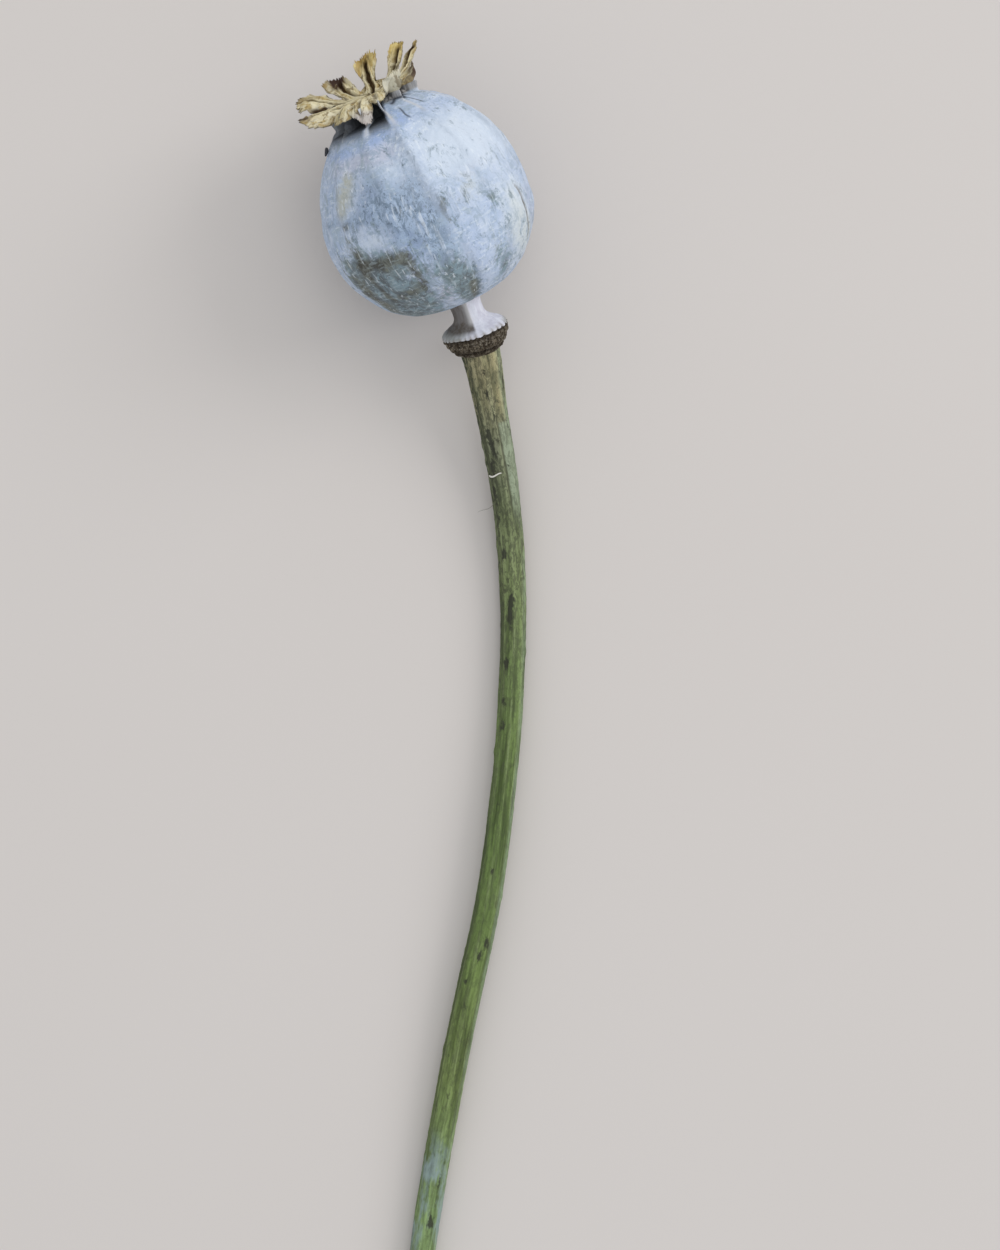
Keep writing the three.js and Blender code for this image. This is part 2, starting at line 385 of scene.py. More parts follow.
def capsuleProfile():
    # the wall from foot to top as (radius, height), spaced evenly along it but closer near the pores
    foot, ends = -head["foot"], 60  # the last is how many points cross each flat end
    low = foot * np.sin(np.linspace(np.pi / 2, 0, 900))
    high = capsule["top"] * np.sin(np.linspace(0, np.pi / 2, 900))[1:]
    h = np.concatenate([np.full(ends, foot), low[1:], high, np.full(ends, capsule["top"])])
    r = wallRadius(h)
    r[:ends] = np.linspace(0.15, r[ends], ends)
    r[-ends:] = np.linspace(r[-ends - 1], 0.15, ends)
    h[:ends] = foot + 0.25 * (1 - np.linspace(0, 1, ends) ** 2)
    step = (np.hypot(np.diff(r), np.diff(h))
            * (1 + 2.4 * smooth(h[1:], 14, 16) + 0.6 * smooth(-h[1:], 12, 14)))
    run = np.concatenate([[0], np.cumsum(step)])
    at = np.linspace(0, run[-1], capsule["rows"])
    return np.interp(at, run, r), np.interp(at, run, h)


def veinMarks(azimuth, h):
    # thin raised lines that run down the wall: each is (azimuth at the top, at the bottom, top, bottom,
    # strength)
    lines = ((260.5, 262.0, 2, -9, 1.0), (267, 270, 0, -8.3, 1.0), (262.5, 266.5, -8.8, -12.6, 1.0),
             (258, 260.5, 6.5, 0, 0.7),
             (252, 257.5, 6, 0, 0.6), (266, 263, 7, 2, 0.5), (291.5, 292.5, -2.5, -9, 0.5),
             (288, 291, 3, -3, 0.5),
             (296, 299, 4, -2, 0.4), (232, 226, 2, -3, 0.5), (243, 247, -1, -8, 0.4),
             (304, 304, -1, -9, 0.35),
             (226, 231, 8, 3, 0.3), (318, 321, 5, -6, 0.3), (60, 66, 9, -11, 0.5), (118, 121, 7, -12, 0.5),
             (152, 149, 8, -9, 0.4), (20, 24, 7, -10, 0.4))
    total = np.zeros_like(h)
    for top, bottom, high, low, strength in lines:
        middle = mix(bottom, top, (h - low) / (high - low)) + 0.35 * np.sin(h * 0.9 + top)
        broken = 0.6 + 0.4 * np.sin(h * 1.7 + top * 3)
        run = smooth(h, low, low + 1.4) * (1 - smooth(h, high - 1.4, high))
        total += strength * broken * bump(turnsFrom(azimuth, middle), 0, 0.42) * run
    return total


# soft patches of tint on the wall, of which the smoke and blue ones high under the crown are painted shade:
# azimuth, height, half width in degrees, half height, strength
tints = dict(
    smoke=((267, -5.0, 12, 5.0, 0.95), (226, 4.2, 13, 1.3, 0.85), (201, 4.9, 11, 0.8, 1.0),
           (244, 8.6, 6, 3.4, 0.65), (249, 3.8, 8, 2.6, 0.9),
           (266, 0.8, 13, 3.4, 0.85), (254, 3.0, 12, 4.0, 0.6), (266, 6.0, 8, 3.0, 0.6),
           (238, 6.5, 12, 3.0, 0.6), (205, 8, 12, 2, 0.3),
           (245, -2.4, 8, 2.6, 0.5), (220, 1.6, 6, 2.2, 0.3), (289, 0.5, 8, 3, 0.3),
           (262, 11.5, 8, 2.5, 0.25), (279, 17.8, 8, 1.2, 0.8), (90, 0, 30, 6, 0.5), (20, 4, 20, 6, 0.4)),
    bare=((224, -8.5, 19, 6.0, 1.3), (233, -4.0, 17, 2.2, 0.9), (216, -3.5, 7, 2.6, 0.8),
          (204, -8.5, 8, 6, 0.9),
          (238, -12, 14, 3.4, 0.8), (212, -12.5, 12, 3, 0.6), (271, -11.5, 8.5, 4.6, 1.2),
          (276, -14, 6, 2.4, 0.7), (256, -8, 6, 4, 0.4), (306, -12.2, 5, 2.2, 0.8),
          (298, -9.5, 6, 4, 0.35), (284, 2.0, 4, 2.0, 0.4), (325, 4, 2, 1.4, 0.5),
          (305, -1.8, 3, 1.6, 0.45), (60, -9, 20, 4, 0.8), (118, -6, 16, 5, 0.75),
          (20, 2, 14, 6, 0.3), (150, 6, 10, 5, 0.3), (90, 5, 14, 3, 0.35), (165, -7, 14, 4, 0.6),
          (30, -10, 10, 3, 0.4)),
    brown=((217, -2.6, 5, 2.0, 1.0), (230, -3.4, 11, 1.5, 1.0), (245, -3.8, 7, 1.5, 0.9),
           (217.5, -8.5, 3.2, 6.0, 1.0),
           (248.5, -8, 3.2, 5.0, 1.0), (203, -8.5, 9, 6.0, 1.0), (235, -10, 13, 1.1, 0.8),
           (229, -7, 5, 6, 0.4), (277.5, -13, 4.4, 2.6, 1.1),
           (277, 0.6, 3.0, 2.6, 0.6), (272.5, 4.6, 5.0, 2.6, 0.35), (265.5, -13.6, 3.4, 1.8, 0.6),
           (220, 3.8, 7, 1.0, 0.45),
           (246, 9.6, 3.0, 2.2, 0.4), (216, 3, 3, 3, 0.45), (293, 1.5, 6, 2, 0.25), (60, -12, 14, 2, 0.6),
           (120, -3, 8, 1.6, 0.6)),
    stain=((220, 8.4, 8, 3.0, 0.62), (225, 10.6, 5, 1.2, 0.4), (216, 5.8, 4, 2.2, 0.35),
           (294, 2.0, 9, 2.4, 0.3), (262, 6.2, 8, 2.0, 0.25),
            (214, 1.0, 3, 2.6, 0.3)),
    blue=((287, -7.5, 8, 7.0, 0.45), (238, 5.6, 12, 3.0, 0.7), (204, 8.5, 12, 3.4, 0.45),
          (253, -2, 8, 5, 0.6), (279, 16.6, 9, 2.0, 1.0),
          (303, -1.5, 6, 5, 0.4), (300, 15.6, 16, 1.8, 0.45), (204, 1, 10, 3, 0.45),
          (256, 15.0, 12, 1.2, 0.9), (216, 14.4, 32, 1.2, 0.85),
          (328, 15.5, 18, 2.2, 0.4), (270, -1.5, 10, 3, 0.4), (265, -4, 10, 6, 0.35),
          (250, 1, 12, 4, 0.35), (40, 12, 30, 4, 0.5), (120, 10, 30, 4, 0.4)),
    lilac=((226, 12.6, 30, 1.8, 0.8), (256, 12.5, 12, 2.4, 0.6), (257, -12.6, 5, 2.0, 1.0),
           (204, -10.5, 6, 2.2, 0.7), (342, -6, 12, 5, 0.6),
           (300, 4.5, 14, 2.0, 0.35), (240, 1.0, 12, 1.4, 0.2)),
    pale=((294, 9, 22, 6, 0.85), (322, 9, 18, 6, 0.7), (231, 0.2, 13, 1.3, 0.6), (257, 9.8, 8, 2.4, 0.5),
          (322, -3, 12, 5, 0.5),
          (345, 8, 14, 7, 0.5), (295, -3.5, 6, 3, 0.3), (200, 2.6, 8, 1.2, 0.4)),
    warm=((320, -6, 12, 6, 0.8), (300, 1.6, 10, 2.4, 0.4), (335, -10, 14, 3, 0.7), (266, 7, 6, 3, 0.3),
          (316, 12, 8, 3, 0.2)),
)


def tintMap(name, azimuth, h):
    # every patch is a bell in azimuth times a bell in height, and they add up
    total = np.zeros_like(h)
    for turn, height, wide, tall, strength in tints[name]:
        total += strength * np.exp(-(turnsFrom(azimuth, turn) / wide) ** 2 - ((h - height) / tall) ** 2)
    return total


def makeCapsule():
    r, h = capsuleProfile()
    azimuth = np.linspace(0, 360, capsule["around"], endpoint=False)
    azimuth, h = np.meshgrid(azimuth, h)
    base = r[:, None] * np.ones_like(h)
    angle = np.radians(azimuth)
    onWall = np.stack([base * np.cos(angle), h, -base * np.sin(angle)], axis=-1)
    off, ridge = pastRidge(azimuth + 0.7 * ripple(onWall, 7, 2), h)
    across = np.abs(off)

    # ridges near the crown, and shallow grooves with soft lobes between them near the foot
    facts = np.array(capsule["ridges"])
    reach, bold, pale = (facts[:, k][ridge] for k in (2, 3, 4))
    crest = np.cos(np.clip(across, 0, 1) * np.pi / 2) ** 2
    depth = 0.1 + 0.55 * smooth(h, 1, 14)
    radius = base - depth * (1 - crest * bold) * smooth(h, -2, 8)
    radius += 0.22 * bold * bump(across, 0, 0.22) * smooth(h, -2, 6) * (1 - smooth(h, 14, 17))
    lower = smooth(-h, 2, 14) * smooth(base, 1, 7)
    radius += lower * (0.1 - bold * (0.45 * bump(across, 0, 0.2) + 0.25 * bump(across, 0, 0.5)))
    # fuller round the middle, and drawn in low down on the left and on the right
    radius += (0.15 * smooth(base, 6, 10)
               - 0.75 * np.clip(-np.cos(angle), 0, 1) * smooth(-h, 4, 11) * smooth(base, 3, 9))
    radius -= 0.3 * np.clip(-np.cos(angle), 0, 1) * smooth(h, 10, 14) * (1 - smooth(h, 16.4, 17.4))
    radius -= 0.95 * np.clip(np.cos(angle - 0.35), 0, 1) * smooth(-h, 6, 12) * smooth(base, 3, 9)

    # fins that carry the crown, and the pores between them
    finEdge = np.maximum(radius, reach * smooth(h, 15.4, 17.2) + 0.3 * smooth(h, 18.6, 19.9))
    lip = np.interp(azimuth % 360, *np.array(capsule["lip"]).T)
    opened = smooth(h, lip - 0.35, lip + 0.35)
    poreWall = mix(radius - 0.25 * smooth(across, 0.3, 1.0) * smooth(h, 14.5, 16.5), capsule["poreFloor"],
                   opened)
    fin = np.exp(-(across / mix(0.42, mix(0.07, 0.125, pale), smooth(h, 14.0, 16.6))) ** 2)
    radius = mix(radius, mix(poreWall, finEdge, fin), smooth(h, 14.5, 16.4)
                 * smooth(base, 1.0, capsule["throat"]))

    # the tan crack on the right-hand side, then dents, puckers and the veins
    crackMiddle = np.interp(h, [-13, -10, -7.0, -5.5, -3.5, -1.0],
                            [341, 333.5, 330.5, 328.8, 329.6, 326.0]) + 0.4 * np.sin(h * 1.9)
    crackRun = smooth(h, -11.5, -9.5) * (1 - smooth(h, -2.0, -0.8))
    crack = bump(azimuth, crackMiddle, 0.75) * crackRun
    crackLip = bump(azimuth, crackMiddle + 2.0, 1.6) * crackRun
    veins = veinMarks(azimuth, h)
    bodyOnly = (1 - smooth(h, 15.0, 16.8)) * smooth(base, 2, 8)
    radius += bodyOnly * (
        0.2 * ripple(onWall, 13, 3) + 0.085 * ripple(onWall, 4.6, 4) + 0.03
                          * ripple(onWall * [1, 0.5, 1], 1.9, 5)
        + 0.09 * veins - 0.3 * crack + 0.2 * crackLip)
    radius = np.maximum(radius, 0.1)
    local = np.stack([radius * np.cos(angle) + capsule["lopsided"] * smooth(h, 1, 8)
                      * (1 - smooth(h, 15, 19)), h,
                      -radius * np.sin(angle)], axis=-1)

    # painted shade under the crown, near black in the pores: deep on the left and in the front opening,
    # none on the right; brown under the eaves
    round360 = azimuth % 360
    leftGloom = smooth(h, 14.8, 17.3) * smooth(round360, 150, 186) * (1 - smooth(round360, 240, 246))
    frontGloom = smooth(h, 14.7, 16.9) * smooth(round360, 247, 250) * (1 - smooth(round360, 268, 270.5))
    hollow = opened * smooth(reach - radius, 0.9, 2.6) * smooth(h, 15.8, 17.2)
    hollow = np.maximum(hollow, np.maximum(leftGloom, frontGloom)) * (1 - fin * pale * 0.9)
    eaves = smooth(h, 18.6, 19.1) * smooth(round360, 276, 284) * (1 - smooth(round360, 352, 358))
    # painted shade: dark lines in the crease under the right-hand rays and beside the fins below them
    crevice = (bump(h, 18.65 + 0.2 * np.sin(round360 * 0.3), 0.22) * smooth(round360, 282, 288)
               * (1 - smooth(round360, 322, 330)))
    crevice = np.maximum(crevice, bump(round360, 288 + 0.6 * np.sin(h * 3), 0.9) * smooth(h, 15.2, 15.9)
                         * (1 - smooth(h, 17.2, 17.8)))
    crevice = np.maximum(crevice, bump(round360, 311 + 1.6 * (18.8 - h), 1.1) * smooth(h, 16.4, 16.9)
                         * (1 - smooth(h, 18.4, 18.9)))
    marks = {name: tintMap(name, azimuth, h) for name in tints}
    # the marks for the grooves near the foot and for one side of each ridge are painted shade
    marks.update(skin=(local * 0.001)[..., [0, 2, 1]], hollow=hollow, vein=veins, crack=crack, eaves=eaves,
                 crevice=crevice,
                 fin=fin * pale * smooth(h, 14.6, 17.0), groove=lower * bump(across, 0, 0.16) * bold,
                 crease=bump(off, -0.16, 0.16) * bold * smooth(h, -3, 1) * (1 - smooth(h, 13, 17)))
    points = fromHead(local)
    piece = ringMesh("seedCapsule", points, fromHead(np.array([0, -15.75, 0])),
                     fromHead(np.array([0, capsule["top"], 0])), marks)
    finishPiece(piece, waxyBloom(), "capsule_wall", "capsule")


def waxyBloom():
    material, tree, shader = newMaterial("waxyBloom", tone(190, 205, 222))
    skin = mark(tree, "skin", "Vector")
    long = stretched(tree, skin, 1.0, 1.0, 0.62)
    wide = grainNoise(tree, skin, 8.0, 3.0)
    cloud = grainNoise(tree, skin, 3.2, 6.0, 0.68, 0.6)
    mottle = grainNoise(tree, long, 1.5, 6.0, 0.75, 0.8)
    stipple = grainNoise(tree, long, 0.5, 4.0, 0.7, 0.3)
    scratch = grainNoise(tree, stretched(tree, skin, 1.0, 1.0, 0.06), 0.5, 2.0, 0.5)
    across = grainNoise(tree, stretched(tree, skin, 0.25, 0.25, 1.0), 0.45, 3.0, 0.6, 0.4)

    def speckled(name, low, high, most, wobble=0.9):
        # a tint whose edge is broken up by the mottling
        uneven = calc(tree, "MULTIPLY", calc(tree, "SUBTRACT", mottle, 0.5), wobble * 1.6)
        uneven = calc(tree, "ADD", uneven, calc(tree, "MULTIPLY", calc(tree, "SUBTRACT", cloud, 0.5),
                                                wobble * 1.6))
        return between(tree, calc(tree, "ADD", mark(tree, name), uneven), low, high, 0.0, most)

    def where(share, low, high, least, most):
        return calc(tree, "MULTIPLY", share, between(tree, mark(tree, "pale"), low, high, least, most))

    colour = blendTone(tree, between(tree, wide, 0.35, 0.65), tone(184, 198, 222), tone(172, 189, 214))
    colour = layer(tree, colour, between(tree, cloud, 0.44, 0.6, 0.0, 0.8), 194, 206, 224)
    colour = layer(tree, colour, speckled("pale", 0.0, 0.9, 0.9, 0.4), 208, 219, 233)
    colour = layer(tree, colour, speckled("lilac", 0.1, 0.9, 0.75, 0.5), 192, 195, 212)
    colour = layer(tree, colour, speckled("warm", 0.1, 0.9, 0.8, 0.5), 206, 213, 213)
    # the blue patches are partly a real blue tint and partly painted shade below the pores
    colour = layer(tree, colour, speckled("blue", 0.1, 1.0, 0.8, 0.6), 152, 174, 214)
    colour = layer(tree, colour, where(between(tree, mottle, 0.49, 0.6), 0.8, 0.0, 0.1, 0.62), 148, 166,
                   186)
    colour = layer(tree, colour, where(between(tree, cloud, 0.47, 0.36), 0.8, 0.0, 0.06, 0.5), 150, 166,
                   172)
    colour = layer(tree, colour, where(between(tree, stipple, 0.55, 0.68), 0.8, 0.0, 0.06, 0.42), 112, 130,
                   148)
    colour = layer(tree, colour, where(between(tree, across, 0.56, 0.64), 0.8, 0.0, 0.15, 0.45), 214, 224,
                   236)
    colour = layer(tree, colour, speckled("stain", 0.1, 0.9, 0.8, 0.7), 174, 172, 148)

    # the dark smoky patches are partly a real dark mottling of the bloom and partly painted shade under the
    # crown
    smoke = speckled("smoke", 0.1, 1.0, 0.86, 1.3)
    smokeTone = blendTone(tree, between(tree, mottle, 0.42, 0.58), tone(106, 124, 142), tone(166, 185, 210))
    smokeTone = layer(tree, smokeTone, between(tree, cloud, 0.5, 0.62, 0.0, 0.6), 158, 176, 208)
    smokeTone = layer(tree, smokeTone, between(tree, stipple, 0.53, 0.64, 0.0, 0.7), 74, 88, 102)
    colour = blendTone(tree, smoke, colour, smokeTone)

    # where the bloom is rubbed off, the skin is slate green, with flecks of bloom left in its pits
    bare = speckled("bare", 0.1, 0.75, 1.0, 1.2)
    slate = blendTone(tree, between(tree, mottle, 0.42, 0.6), tone(76, 84, 84), tone(128, 150, 160))
    slate = layer(tree, slate, between(tree, cloud, 0.44, 0.6, 0.0, 0.5), 104, 116, 112)
    slate = layer(tree, slate, between(tree, across, 0.54, 0.64, 0.0, 0.5), 160, 178, 186)
    slate = layer(tree, slate, between(tree, stipple, 0.56, 0.66, 0.0, 0.55), 62, 70, 68)
    colour = blendTone(tree, calc(tree, "MULTIPLY", bare, 0.88), colour, slate)
    rust = blendTone(tree, between(tree, mottle, 0.42, 0.6), tone(62, 58, 48), tone(112, 114, 104))
    rust = layer(tree, rust, between(tree, across, 0.53, 0.62, 0.0, 0.5), 136, 146, 146)
    colour = blendTone(tree, speckled("brown", 0.3, 1.1, 0.85, 1.3), colour, rust)
    # painted shade: darker along the grooves on the ridge lines near the foot
    colour = layer(tree, colour, weighed(tree, "groove", between(tree, cloud, 0.3, 0.6, 0.1, 0.5)), 84, 92,
                   98)
    # painted shade on one side of each ridge, over the body of the capsule
    colour = layer(tree, colour, weighed(tree, "crease", between(tree, mottle, 0.35, 0.6, 0.12, 0.45)),
                   140, 152, 168)
    scratches = calc(tree, "MULTIPLY", between(tree, scratch, 0.61, 0.68),
                     between(tree, cloud, 0.35, 0.6, 0.15, 0.5))
    colour = layer(tree, colour, scratches, 224, 232, 240)
    colour = layer(tree, colour, weighed(tree, "vein", 0.5, True), 220, 228, 238)
    colour = layer(tree, colour, weighed(tree, "crack", 0.9), 104, 90, 66)
    eaves = blendTone(tree, between(tree, scratch, 0.42, 0.58), tone(70, 62, 54), tone(150, 146, 142))
    colour = blendTone(tree, weighed(tree, "eaves", 0.9), colour, eaves)
    # painted shade: the pores and the hollows under the crown are coloured near black
    poreTone = blendTone(tree, between(tree, mottle, 0.4, 0.6), tone(22, 22, 20), tone(50, 52, 54))
    colour = blendTone(tree, weighed(tree, "hollow", 0.97), colour, poreTone)
    colour = layer(tree, colour, weighed(tree, "fin", 0.85), 206, 206, 208)
    # painted shade along the creases under the crown
    colour = layer(tree, colour, weighed(tree, "crevice", 0.9, True), 40, 42, 50)

    roughness = calc(tree, "SUBTRACT", 0.76, calc(tree, "MULTIPLY", bare, 0.16))
    height = calc(tree, "ADD", calc(tree, "MULTIPLY", mottle, 0.6), calc(tree, "MULTIPLY", stipple, 0.3))
    height = calc(tree, "ADD", height, calc(tree, "MULTIPLY", scratch, 0.5))
    height = calc(tree, "ADD", height, calc(tree, "MULTIPLY", across, 0.3))
    height = calc(tree, "SUBTRACT", height, calc(tree, "MULTIPLY", bare, 0.25))
    join(tree, shader, colour, roughness, height, 0.42, 0.0004)
    shader.inputs["Specular IOR Level"].default_value = 0.3
    return material


crown = dict(
    height=20.7, sinus=4.8, hub=1.3, edge=0.34, samples=52, topRows=68, underRows=40,
    cup=0.012,  # height gained per square millimetre of radius, inside the sinuses
    # how far out the rays stay joined to the next one round
    joined=(4.6, 4.6, 4.6, 4.6, 4.8, 6.6, 7.2, 7.4, 6.6, 5.6, 5.2),
)

# one row a ray, going round: azimuth, radius and rise of the tip, slope at the sinus and at the tip,
# twist, sway, width at the middle and at the tip as shares, bluntness, arch of its section (below zero
# it is a channel), gold and dark at the tip, how pale its underside is, skew of the tip towards the
# next ray, and extra width that way
rays = (
    (343, 8.0, 2.0, 30, 66, 10, 0.2, 0.90, 0.80, 3.0, 0.25, 0.0, 0.9, 0.2, 0.0, 1.0),
    (26, 11.8, 4.7, 14, 30, 50, 0.2, 0.44, 0.26, 1.7, -0.30, 0.5, 0.4, 0.9, 0.0, 1.0),
    (49, 12.4, 5.2, 16, 36, 14, 0.1, 0.48, 0.56, 3.4, -0.34, 1.0, 0.1, 0.5, 0.0, 1.0),
    (86, 9.6, 5.5, 26, 62, -4, -0.3, 0.42, 0.92, 5.0, -0.28, 1.0, 0.5, 0.5, 0.0, 1.0),
    (121, 9.6, 4.1, 22, 58, -40, -0.4, 0.80, 1.15, 3.8, -0.36, 0.1, 1.2, 0.9, 0.22, 1.1),
    (152, 12.2, 3.7, 12, 14, -6, 0.3, 0.95, 0.90, 3.0, 0.20, 0.3, 0.45, 0.4, 0.0, 1.4),
    (184, 12.6, 1.3, 4, 16, 8, 0.2, 1.00, 0.92, 2.9, 0.42, 0.2, 0.9, 0.3, 0.0, 1.5),
    (214, 9.2, -1.6, 4, -50, 0, 0.1, 1.15, 1.10, 3.0, 0.30, 0.1, 0.1, 0.6, 0.0, 1.1),
    (243, 9.3, -2.7, 2, -58, -16, 0.25, 1.30, 0.85, 2.1, 0.30, 0.0, 0.1, 0.9, 0.2, 1.15),
    (270, 7.2, -0.9, 24, -58, -8, -0.2, 1.05, 0.84, 2.4, 0.46, 0.0, 0.1, 0.7, 0.0, 1.0),
    (306, 7.0, 2.3, 40, 78, 0, 0.3, 1.10, 1.05, 3.6, -0.12, 0.0, 0.0, 1.0, 0.0, 1.0),
)


def raySpine(tipRadius, rise, slope, curl):
    # distance out and height of a ray's midline against its own length, and the angle there: the cup's
    # parabola out to the sinus, then a cubic from there to the tip that starts and ends at the two
    # slopes
    inner = np.linspace(0, crown["sinus"], 80, endpoint=False)
    start = np.array([crown["sinus"], crown["cup"] * crown["sinus"] ** 2])
    end = np.array([tipRadius, rise])
    size = np.linalg.norm(end - start)
    first, last = (size * np.array([math.cos(math.radians(a)), math.sin(math.radians(a))])
                   for a in (slope, curl))
    t = np.linspace(0, 1, 200)[:, None]
    outer = (start * (1 - 3 * t ** 2 + 2 * t ** 3) + end * (3 * t ** 2 - 2 * t ** 3)
             + first * (t - 2 * t ** 2 + t ** 3) + last * (t ** 3 - t ** 2))
    beyond = outer[-1] + (outer[-1] - outer[-2]) * np.arange(1, 30)[:, None]
    out = np.concatenate([inner, outer[:, 0], beyond[:, 0]])
    up = np.concatenate([crown["cup"] * inner ** 2, outer[:, 1], beyond[:, 1]])
    run = np.concatenate([[0], np.cumsum(np.hypot(np.diff(out), np.diff(up)))])
    angle = np.arctan2(np.gradient(up, run), np.gradient(out, run))
    angle = np.convolve(np.pad(angle, 12, mode="edge"), np.ones(25) / 25, mode="valid")
    return run, out, up, angle, float(run[80 + len(outer) - 1])


def makeCrown():
    samples = crown["samples"]
    turns = np.array([row[0] for row in rays], float)
    backward = (turns - np.roll(turns, 1)) % 360 / 2
    forward = (np.roll(turns, -1) - turns) % 360 / 2
    side = (np.arange(samples) + 0.5) / samples * 2 - 1
    shareTop = np.linspace(0, 1, crown["topRows"] + 1)[1:] ** 0.85
    shareUnder = np.linspace(1, 0, crown["underRows"] + 1)[:-1]
    share = np.concatenate([shareTop, [1.0], shareUnder])
    deep = np.concatenate([np.zeros(len(shareTop)), [0.5], np.ones(len(shareUnder))])[:, None]
    columns, marks = [], {key: [] for key in ("skin", "furrow", "stigma", "gold", "dark", "under", "hem",
                                              "membrane", "web", "paleTip", "seam")}
    for index, (turn, tipRadius, rise, slope, curl, twist, sway, middle, tip, blunt, arch, gold, dark,
                pale, skew, wider) in enumerate(rays):
        run, out, up, angle, reach = raySpine(tipRadius, rise, slope, curl)
        half = np.radians(np.where(side < 0, backward[index], forward[index]))
        tongue = np.sqrt(np.clip(1 - np.abs(side) ** blunt, 0, 1))
        frayed = (1 + 0.022 * np.sin(side * 23 + index) * np.abs(side)
                  + 0.02 * np.sin(side * 51 + 2 * index) + 0.012 * np.sin(side * 97 + index))
        notch = mix(crown["joined"][index - 1], crown["joined"][index], side / 2 + 0.5)
        outline = notch + (reach * frayed * (1 + skew * side) - notch) * tongue
        radius = share[:, None] * outline[None, :]
        u, v = radius * np.cos(side * half), radius * np.sin(side * half)
        free = smooth(u, crown["sinus"] - 0.4, crown["sinus"] + 1.8)
        length = u / reach
        v = v * mix(1, mix(middle, tip, smooth(length, 0.6, 0.97)) * np.where(side > 0, wider, 1.0), free)

        # across the ray: a furrow between two raised stigma lines, margins that hang or rise, and a
        # ruffled hem
        lines = smooth(u, 0.5, 1.8) * (1 - smooth(length, 0.86, 0.98)) * (0.5 if rise < -0.5 else 1.0)
        # the furrows of the rays on the left are turned up to the side that faces the open pores
        turnedUp = 0.7 if 140 < turn < 190 else 0.0
        wander = v + 0.13 * np.sin(u * 0.9 + index) * smooth(u, 2, 5) - turnedUp * smooth(u, 1, 3)
        furrow = bump(wander, 0, 0.34) * lines
        stigma = (bump(wander, 0.6, 0.2) + bump(wander, -0.6, 0.2)) * lines
        outside = smooth(np.abs(v), 0.8, 2.0)
        ruffle = ((0.2 * np.sin(u * 2.3 + index * 1.3 + side * 2) + 0.1 * np.sin(u * 5.1 + index))
                  * outside * free)
        lift = 0.32 * stigma - 0.46 * furrow + ruffle - 0.12 * v ** 2 * (1 - free)
        # a ray that is wider on one side hangs on that side only
        bend = arch * free * np.where((side < 0) & (wider > 1.2), -0.3, 1.0)
        bend = np.where(np.abs(bend) < 1e-3, 1e-3, bend)
        theta = np.clip(v * bend, -1.5, 1.5)
        v2 = np.sin(theta) / bend
        lift = lift - (1 - np.cos(theta)) / bend
        hubShare = 1 - smooth(radius, 3.2, 6.6)
        thick = mix(crown["edge"] * (1 - 0.5 * share[:, None] ** 4), crown["hub"], hubShare)
        keel = 1.2 * np.exp(-(v / 0.42) ** 2) * smooth(radius, 3.0, 5.0) * (1 - smooth(radius, 6.2, 9.0))
        lift = lift - deep * (thick + keel)

        roll = np.radians(twist) * smooth(length, 0.4, 1.0) ** 1.2
        v3 = v2 * np.cos(roll) - lift * np.sin(roll)
        lifted = v2 * np.sin(roll) + lift * np.cos(roll)
        bendAt = np.interp(u, run, angle)
        x = np.interp(u, run, out) - lifted * np.sin(bendAt)
        y = np.interp(u, run, up) + lifted * np.cos(bendAt)
        z = v3 + sway * np.clip(u - crown["sinus"], 0, None) ** 2 * 0.06
        rim = bump(share, 1, 0.05)[:, None] * bump(deep, 0.5, 0.3)
        x = x + 0.1 * rim * np.cos(side * half)
        turned = np.radians(turn)
        columns.append(np.stack([x * np.cos(turned) - z * np.sin(turned), crown["height"] + y,
                                 -(x * np.sin(turned) + z * np.cos(turned))], axis=-1))
        ones = np.ones_like(u)
        marks["skin"].append(np.stack([v, deep * ones * 2 + index * 5, u], axis=-1) * 0.001)
        marks["furrow"].append(furrow * (1 - deep))
        marks["stigma"].append(stigma * (1 - deep))
        marks["gold"].append(gold * smooth(length, 0.66, 0.97))
        marks["dark"].append(dark * smooth(length, 0.72, 0.93) * (1 - 0.7 * outside))
        marks["under"].append(deep * ones)
        marks["paleTip"].append(pale * smooth(length, 0.5, 0.68) * ones)
        marks["hem"].append(smooth(np.abs(side), 0.7, 1.0) * smooth(radius, 4.0, 7.5))
        # painted shade in the gap where the rays at 152 and 184 degrees meet
        meeting = (turn == 152) * smooth(side, 0.5, 0.8) + (turn == 184) * smooth(-side, 0.55, 0.85)
        marks["seam"].append(meeting * smooth(radius, 2.5, 4.0) * (1 - smooth(radius, 9.5, 11)))
        marks["membrane"].append(outside * free * (1 - deep))
        marks["web"].append((rise < -2) * smooth(length, 0.72, 0.92) * ones)
    local = np.concatenate(columns, axis=1)
    outward = smooth(np.hypot(local[..., 0], local[..., 2]), 3, 8)[..., None]
    local = local + outward * (0.12 * np.stack([ripple(local, 2.4, s) for s in (21, 22, 23)], axis=-1)
                               + 0.045 * np.stack([ripple(local, 0.9, s) for s in (24, 25, 26)], axis=-1))
    marks = {key: np.concatenate(values, axis=1) for key, values in marks.items()}
    topPole = fromHead(np.array([0, crown["height"], 0]))
    underPole = fromHead(np.array([0, crown["height"] - crown["hub"], 0]))
    piece = ringMesh("stigmaCrown", fromHead(local), topPole, underPole, marks)
    finishPiece(piece, paperyRay(), "crown_rays", "crown")


